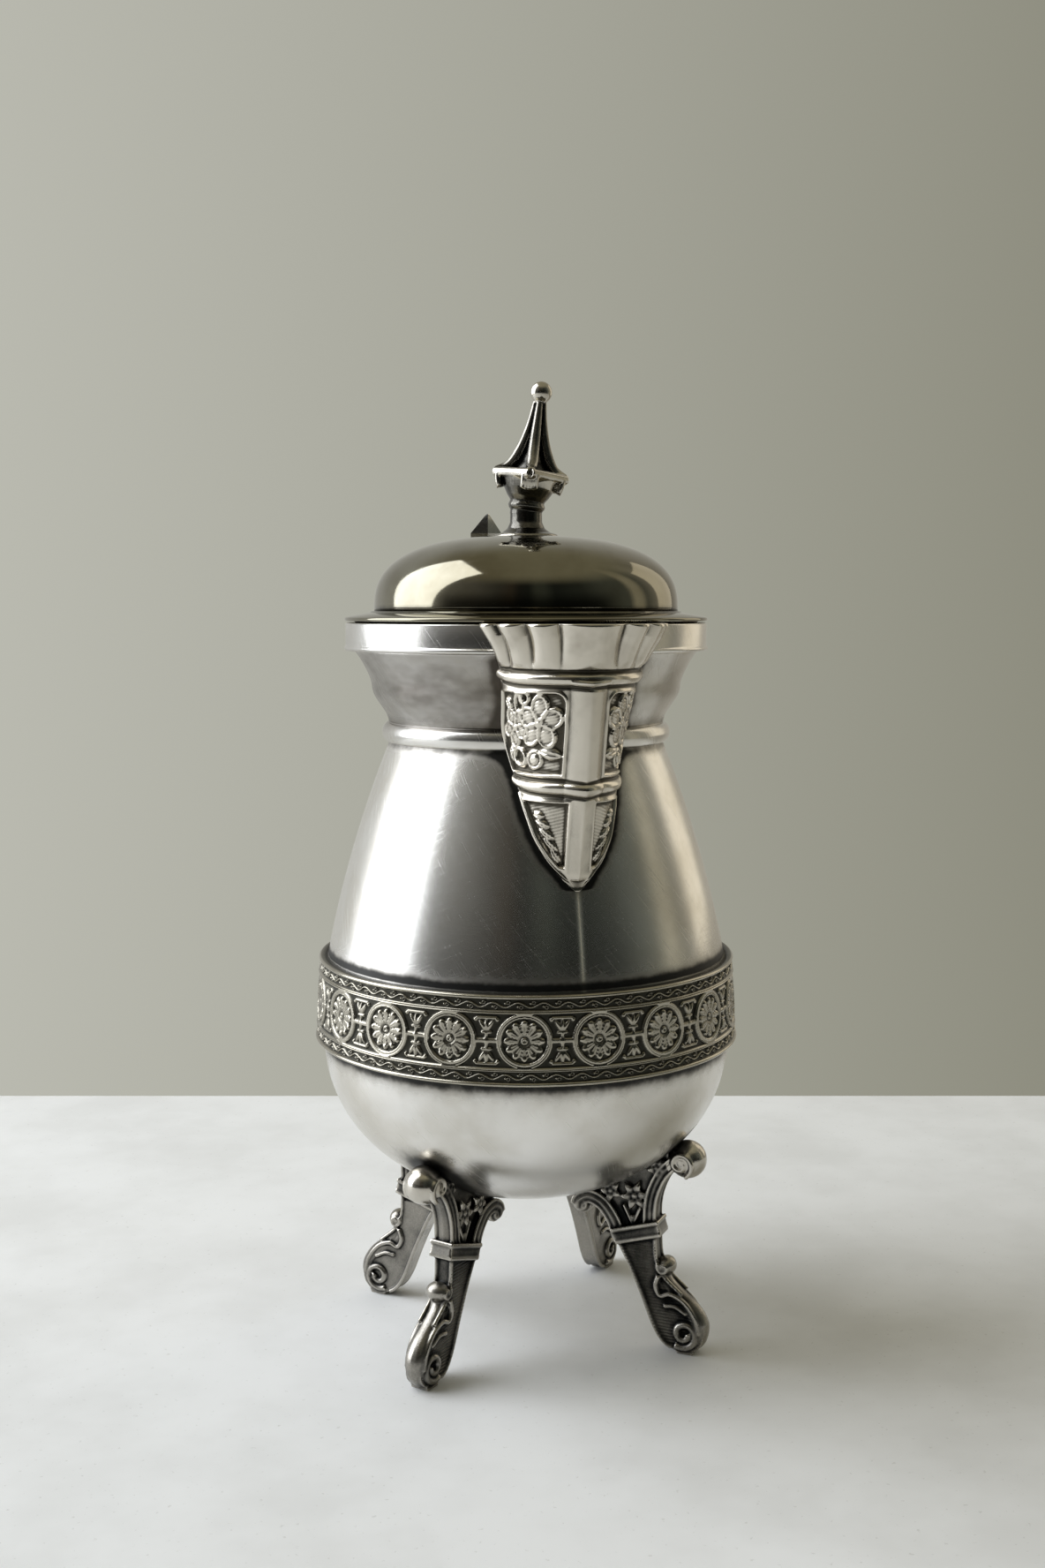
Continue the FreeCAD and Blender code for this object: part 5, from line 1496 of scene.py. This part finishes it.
class PITCHER_OT_finial(bpy.types.Operator):
    """Casts the finial: flared foot, stem, ring, bell cup, square eave, ribbed spire and ball."""
    bl_idname = "pitcher.finial"
    bl_label = "Cast the finial"

    def execute(self, context):
        settings = context.scene.pitcher.casting
        stem_top = DOME_TOP + 5.0
        ring_top = stem_top + 2.0
        eave = ring_top + 4.1
        top = eave + 15.0
        upper = Casting()
        upper.turned([(0.01, stem_top - 1.2), (3.1, stem_top - 1.0), (3.1, stem_top - 0.1),
                      (3.5, stem_top + 0.3), (3.65, stem_top + 0.8), (3.45, stem_top + 1.3),
                      (3.3, stem_top + 1.6), (4.1, ring_top + 0.6), (5.0, ring_top + 2.2),
                      (5.5, eave - 0.4), (5.6, eave), (0.01, eave + 0.3)], 40)
        corners = [(math.cos(a), math.sin(a)) for a in (0, 0.5 * math.pi, math.pi, 1.5 * math.pi)]
        for k in range(4):
            (x0, y0), (x1, y1) = corners[k], corners[(k + 1) % 4]
            rail = [(6.9 * (x0 + (x1 - x0) * t), 6.9 * (y0 + (y1 - y0) * t), eave + 0.55)
                    for t in (0, 0.5, 1)]
            upper.bar(through(rail, 12), 0.98, 10)
            for t in (0.25, 0.5, 0.75):
                centre = (7.0 * (x0 + (x1 - x0) * t), 7.0 * (y0 + (y1 - y0) * t), eave + 0.5)
                upper.ball(centre, (0.55, 0.55, 1.05), 8, 10)
            run = [(6.7, 0.7), (4.7, 1.7), (3.5, 3.1), (2.6, 5.1), (2.0, 6.9), (1.5, 8.9), (1.15, 10.9),
                   (0.9, 13.0), (0.8, 14.6)]
            path = through([(r * x0, r * y0, eave + up) for r, up in run], 40)
            upper.bar(path, np.interp(np.linspace(0, 1, 40), [0, 0.25, 0.6, 1], [1.0, 1.2, 1.0, 0.6]), 10)
            side = np.array((-y0, x0, 0.0))
            for step in np.linspace(-1.15, 1.15, 5):
                drop = [np.array((r * x0, r * y0, eave - down)) + side * step
                        for r, down in ((6.3, -0.3), (6.1, 1.2), (5.7, 2.5 - 0.25 * step ** 2))]
                upper.bar(through(drop, 8), 0.62, 8)
        core = []
        for r, up in ((6.4, 0.1), (4.1, 1.5), (2.9, 3.1), (2.1, 5.1), (1.55, 7.2), (1.1, 9.5), (0.85, 12.0),
                      (0.7, 14.8)):
            core.append([(r * x, r * y, eave + up) for x, y in corners])
        last = 4 * len(core)
        faces = grid_faces(len(core), 4, False, True).tolist()
        faces += [[3, 2, 1, 0], list(range(last - 4, last))]
        upper.join(np.array(core).reshape(-1, 3), faces)
        upper.ball((0, 0, top + 1.6), (2.17, 2.17, 2.17), 16, 24)
        upper.turned([(0.01, top - 0.8), (0.9, top - 0.7), (1.25, top - 0.3), (1.0, top + 0.1),
                      (0.01, top + 0.2)], 20)
        lean = leaning_matrix(stem_top, settings.lean, settings.finial_turn)
        for points in upper.points:
            points[:] = [tuple(lean @ Vector(p)) for p in points]
        upper.turned([(0.01, DOME_TOP - 1.0), (6.2, DOME_TOP - 1.0), (6.3, DOME_TOP),
                      (6.0, DOME_TOP + 0.3), (4.8, DOME_TOP + 0.6), (3.7, DOME_TOP + 1.4),
                      (3.15, DOME_TOP + 2.6), (3.1, stem_top), (0.01, stem_top)], 48)
        knob = upper.fused("finial_casting", FINIAL_VOXEL, 2)
        co = np.empty(len(knob.data.vertices) * 3)
        knob.data.vertices.foreach_get("co", co)
        knob.data.vertices.foreach_set("co", (co.reshape(-1, 3) + [AXIS[0] * MM, AXIS[1] * MM, 0]).ravel())
        knob.data.update()
        rubbed(knob.data, 24, 0.42)
        co = point_data(knob.data)[0]
        edge = smooth_mask(co[:, 2], eave - 3.4, eave - 3.0)
        edge = edge * (1 - smooth_mask(co[:, 2], eave + 1.0, eave + 1.8))
        far_out = smooth_mask(np.hypot(co[:, 0] - AXIS[0], co[:, 1] - AXIS[1]), 4.9, 5.5)
        wiped_and_lit(knob.data, 0.8 * edge * far_out + 0.7 * (co[:, 2] > top - 0.5), 0.80)
        wiped_and_lit(knob.data, 0.8 * (co[:, 2] < eave - 0.6) * (1 - far_out), 0.50)
        dress(knob, "knob", "cast_silver", "lid", "finial")
        return {"FINISHED"}


class PITCHER_OT_handle(bpy.types.Operator):
    """Casts the C handle with scrolled ends and a thumb rest, opposite the spout."""
    bl_idname = "pitcher.handle"
    bl_label = "Cast the handle"

    def execute(self, context):
        reach = box_mm("handle")[1][1] - AXIS[1] - 2.8
        top, foot = COLLAR_FOOT + 5.9, COLLAR_FOOT - 38.6
        tall = top - foot
        marks = [(COLLAR_R - 5.2, top - 0.4), (COLLAR_R + 10.7, top + 4.0), (0.78 * reach, top + 5.0),
                 (0.95 * reach, top - 4.0), (reach, foot + 0.6 * tall), (0.93 * reach, foot + 0.25 * tall),
                 (0.76 * reach, foot + 2.0), (SHOULDER_R + 6.0, foot - 1.5), (SHOULDER_R - 3.6, foot)]
        line = through(marks, 120)
        casting = Casting()
        share = np.linspace(0, 1, 120)
        thick = 2.35 + 0.45 * np.sin(math.pi * share)
        path = np.stack([line[:, 0], np.zeros(120), line[:, 1]], axis=1)
        casting.bar(path, thick, 16, 1.38)
        for side in (-1, 1):
            rib = path.copy()
            rib[:, 1] = side * (thick * 1.22)
            casting.bar(rib[4:-4], 0.7, 8)
        rest = through([(60.0, 0, top + 5.6), (66.0, 0, top + 6.6), (71.5, 0, top + 5.2),
                        (73.0, 0, top + 7.4)], 20)
        casting.bar(rest, np.linspace(1.9, 1.0, 20), 10, 1.7)
        casting.ball((73.0, 0, top + 7.5), (1.6, 2.4, 1.6))
        for x, z, outer in ((COLLAR_R + 4.0, top - 1.4, 3.0), (SHOULDER_R + 5.0, foot + 3.4, 3.1)):
            casting.slab(circle(x, z, outer - 0.5), 2.2)
            casting.mirrored_bar(spiral(x, z, outer - 0.4, 0.6, 1.0, 1.4), 2.35, 0.55)
        for x, z in ((COLLAR_R - 3.2, top), (SHOULDER_R - 2.4, foot)):
            casting.ball((x, 0, z), (1.9, 5.2, 5.0))
        pattern = casting.fused("handle_casting", HANDLE_VOXEL, 3)
        rubbed(pattern.data, 24, 0.5)
        co = point_data(pattern.data)[0]
        co = np.stack([-co[:, 1], co[:, 0], co[:, 2]], axis=1)
        r = np.hypot(co[:, 0], co[:, 1])
        limit = vessel_r(co[:, 2]) - 0.25
        push = np.maximum(limit / np.maximum(r, 1e-6), 1.0)
        co[:, 0] *= push
        co[:, 1] *= push
        pattern.data.vertices.foreach_set("co", put(co).ravel())
        pattern.data.update()
        dress(pattern, "cast", "cast_silver", "vessel", "handle")
        return {"FINISHED"}


class PITCHER_OT_fittings(bpy.types.Operator):
    """Finishes the CAD pieces that keep their own shape: hinge, pin, thumb piece, nut and washer."""
    bl_idname = "pitcher.fittings"
    bl_label = "Finish the fittings"

    def execute(self, context):
        for key, nodes in (("wall", ("hinge_leaf_body", "hinge_leaf_lid", "thumb_piece")),
                           ("nickel", ("hinge_pin", "finial_nut", "finial_washer"))):
            for node in nodes:
                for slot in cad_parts[node].material_slots:
                    slot.material = material(key)
        return {"FINISHED"}


# ------------------------------------------------------------------ stage

# Where the camera stands, with distances in metres.
CAMERA_AZIMUTH = math.radians(-16.5)
CAMERA_PITCH = math.radians(5.955)
CAMERA_DISTANCE = 0.334
CAMERA_HEIGHT = 0.1457
LENS_MM = 38.86
SENSOR_MM = 36.0
AXIS_SHIFT = -0.0007
LIGHT_TARGET_HEIGHT = 0.09
TABLE_THICK = 0.03


def camera_frame():
    """Right, forward and origin of the view, level with the table."""
    forward = Vector((-math.sin(CAMERA_AZIMUTH), math.cos(CAMERA_AZIMUTH), 0))
    right = Vector((math.cos(CAMERA_AZIMUTH), math.sin(CAMERA_AZIMUTH), 0))
    return right, forward, Vector((AXIS[0] * MM, AXIS[1] * MM, 0))


# Brightness of the room round the piece, by degrees from behind the camera. -90 is the camera's left.
ROOM = (
    (-180, "#b4b3aa"), (-150, "#c4c4bf"), (-120, "#d2d4d2"), (-80, "#d8dad8"), (-62, "#8f8f8a"),
    (-40, "#74736e"), (-22, "#4f4e49"), (-12, "#4a433a"), (-6, "#2e2e2b"), (2, "#2a2d2a"), (8, "#4b4e47"),
    (14, "#484c45"), (22, "#2a2d2a"), (45, "#3a3d38"), (66, "#5c5f58"), (84, "#63665e"), (90, "#b9b39e"),
    (97, "#b0aa96"), (103, "#6a6b62"), (118, "#a19c8f"), (132, "#8b877b"), (150, "#a8a397"),
    (180, "#b4b3aa"))


def room_world():
    """A plain room: the camera looks at a pale wall, and the metal also sees a bright window side and a
    dark side behind the camera."""
    world = bpy.data.worlds.new("plain_room")
    world.use_nodes = True
    tree = world.node_tree
    tree.nodes.clear()
    way = add(tree, "ShaderNodeTexCoord").outputs["Generated"]
    turned = add(tree, "ShaderNodeMapping", {0: way, 2: (0, 0, -CAMERA_AZIMUTH)})
    xyz = add(tree, "ShaderNodeSeparateXYZ", {0: turned}).outputs
    behind = add(tree, "ShaderNodeMath", {0: xyz[1], 1: -1.0}, operation="MULTIPLY")
    angle = add(tree, "ShaderNodeMath", {0: xyz[0], 1: behind}, operation="ARCTAN2")
    share = add(tree, "ShaderNodeMath", {0: angle, 1: 0.5 / math.pi, 2: 0.5}, operation="MULTIPLY_ADD")
    ramp = add(tree, "ShaderNodeValToRGB", {0: share})
    elements = ramp.color_ramp.elements
    while len(elements) > 1:
        elements.remove(elements[-1])
    for k, (degrees, colour) in enumerate(ROOM):
        place = (degrees + 180) / 360
        item = elements[0] if k == 0 else elements.new(place)
        item.position = place
        item.color = linear(colour)
    overhead = add(tree, "ShaderNodeMapRange", {0: xyz[2], 1: 0.55, 2: 0.9}, **SMOOTH)
    ahead = add(tree, "ShaderNodeMapRange", {0: xyz[1], 1: -0.2, 2: -0.6}, **SMOOTH)
    low = add(tree, "ShaderNodeMapRange", {0: xyz[2], 1: 0.05, 2: 0.42, 3: 0.85, 4: 0.0}, **SMOOTH)
    dim = add(tree, "ShaderNodeMath", {0: ahead, 1: low}, operation="MULTIPLY")
    room = ramp.outputs[0]
    for share, tint in ((dim, "#0a0b0a"), (overhead, "#9d9882")):
        mixed = add(tree, "ShaderNodeMix", {0: share, 6: room, 7: linear(tint)}, data_type="RGBA")
        room = mixed.outputs[2]
    # Painted shade: the wall seen by the camera goes from pale at the left to darker at the right, as the
    # window's light falls off across it.
    across = add(tree, "ShaderNodeMapRange", {0: xyz[0], 1: -0.32, 2: 0.32})
    wall = add(tree, "ShaderNodeMix", {
        0: across, 6: linear("#bbbbb1"), 7: linear("#8c8b7d")}, data_type="RGBA").outputs[2]
    seen = add(tree, "ShaderNodeLightPath").outputs["Is Camera Ray"]
    colour = add(tree, "ShaderNodeMix", {0: seen, 6: room, 7: wall}, data_type="RGBA").outputs[2]
    back = add(tree, "ShaderNodeBackground", {0: colour, 1: 1.0})
    add(tree, "ShaderNodeOutputWorld", {0: back.outputs[0]})
    return world


def soft_light(name, azimuth, elevation, distance, width, height, power, colour):
    """Large rectangular light aimed at the piece; azimuth 0 is behind the camera, -90 its left."""
    right, forward, origin = camera_frame()
    a, e = math.radians(azimuth), math.radians(elevation)
    level = right * (math.sin(a) * math.cos(e)) - forward * (math.cos(a) * math.cos(e))
    way = level + Vector((0, 0, math.sin(e)))
    target = origin + Vector((0, 0, LIGHT_TARGET_HEIGHT))
    data = bpy.data.lights.new(name, "AREA")
    data.shape = "RECTANGLE"
    data.size, data.size_y = width, height
    data.energy = power
    data.color = linear(colour)[:3]
    lamp = bpy.data.objects.new(name, data)
    lamp.location = target + way * distance
    lamp.rotation_euler = (-way).to_track_quat("-Z", "Y").to_euler()
    lamp.visible_camera = False
    bpy.context.scene.collection.objects.link(lamp)


class PITCHER_OT_stage(bpy.types.Operator):
    """Lays the pale table, the soft window light, the room and the camera."""
    bl_idname = "pitcher.stage"
    bl_label = "Set the stage"

    def execute(self, context):
        scene = context.scene
        right, forward, origin = camera_frame()
        near, far, wide = 0.75, 0.165, 0.8
        plan = ((-wide, -near), (wide, -near), (wide, far), (-wide, far))
        corners = [origin + right * x + forward * y for x, y in plan]
        top = [(c.x, c.y, 0.0) for c in corners]
        bottom = [(c.x, c.y, -TABLE_THICK) for c in corners]
        faces = [(0, 1, 2, 3), (7, 6, 5, 4)] + [(k, k + 4, (k + 1) % 4 + 4, (k + 1) % 4) for k in range(4)]
        mesh = bpy.data.meshes.new("table_top")
        mesh.from_pydata(top + bottom, [], faces)
        table = new_object("table_top", mesh)
        edge = table.modifiers.new("edge", "BEVEL")
        edge.width, edge.segments = 0.004, 3
        table.data.materials.append(material("table"))
        scene.world = room_world()
        soft_light("window_left", -94, 32, 1.0, 0.86, 1.4, scene.pitcher.stage.window_power, "#f4f8ff")
        soft_light("wall_bounce_right", 128, 20, 1.1, 0.5, 0.9, 1.1, "#f3e8d2")
        data = bpy.data.cameras.new("view")
        data.lens, data.sensor_width = LENS_MM, SENSOR_MM
        data.sensor_fit = "AUTO"
        data.clip_start, data.clip_end = 0.01, 20
        camera = bpy.data.objects.new("view", data)
        stand = origin + right * AXIS_SHIFT - forward * CAMERA_DISTANCE
        camera.location = stand + Vector((0, 0, CAMERA_HEIGHT))
        look = forward * math.cos(CAMERA_PITCH) - Vector((0, 0, math.sin(CAMERA_PITCH)))
        camera.rotation_euler = look.to_track_quat("-Z", "Y").to_euler()
        scene.collection.objects.link(camera)
        scene.camera = camera
        scene.view_settings.view_transform = "Standard"
        return {"FINISHED"}


# ------------------------------------------------------------------ panel and registration

STEPS = ("vessel", "band", "spout", "lid", "finial", "handle", "feet", "fittings", "stage")


class PITCHER_PT_steps(bpy.types.Panel):
    """Lists the build steps in the order they are made."""
    bl_idname = "PITCHER_PT_steps"
    bl_label = "Syrup pitcher"
    bl_space_type = "VIEW_3D"
    bl_region_type = "UI"
    bl_category = "Pitcher"

    def draw(self, context):
        for step in STEPS:
            self.layout.operator("pitcher." + step)


CLASSES = (
    VesselSettings, BandSettings, SpoutSettings, CastingSettings, StageSettings, PitcherSettings,
    PITCHER_OT_vessel, PITCHER_OT_band, PITCHER_OT_spout, PITCHER_OT_lid, PITCHER_OT_finial,
    PITCHER_OT_handle, PITCHER_OT_feet, PITCHER_OT_fittings, PITCHER_OT_stage, PITCHER_PT_steps)


def register():
    """Makes the classes and the scene's settings known."""
    for item in CLASSES:
        bpy.utils.register_class(item)
    bpy.types.Scene.pitcher = bpy.props.PointerProperty(type=PitcherSettings)


def unregister():
    """Takes back what register() did."""
    del bpy.types.Scene.pitcher
    for item in reversed(CLASSES):
        bpy.utils.unregister_class(item)


def main():
    """Runs every step."""
    register()
    for step in STEPS:
        getattr(bpy.ops.pitcher, step)()


if __name__ == "__main__":
    main()
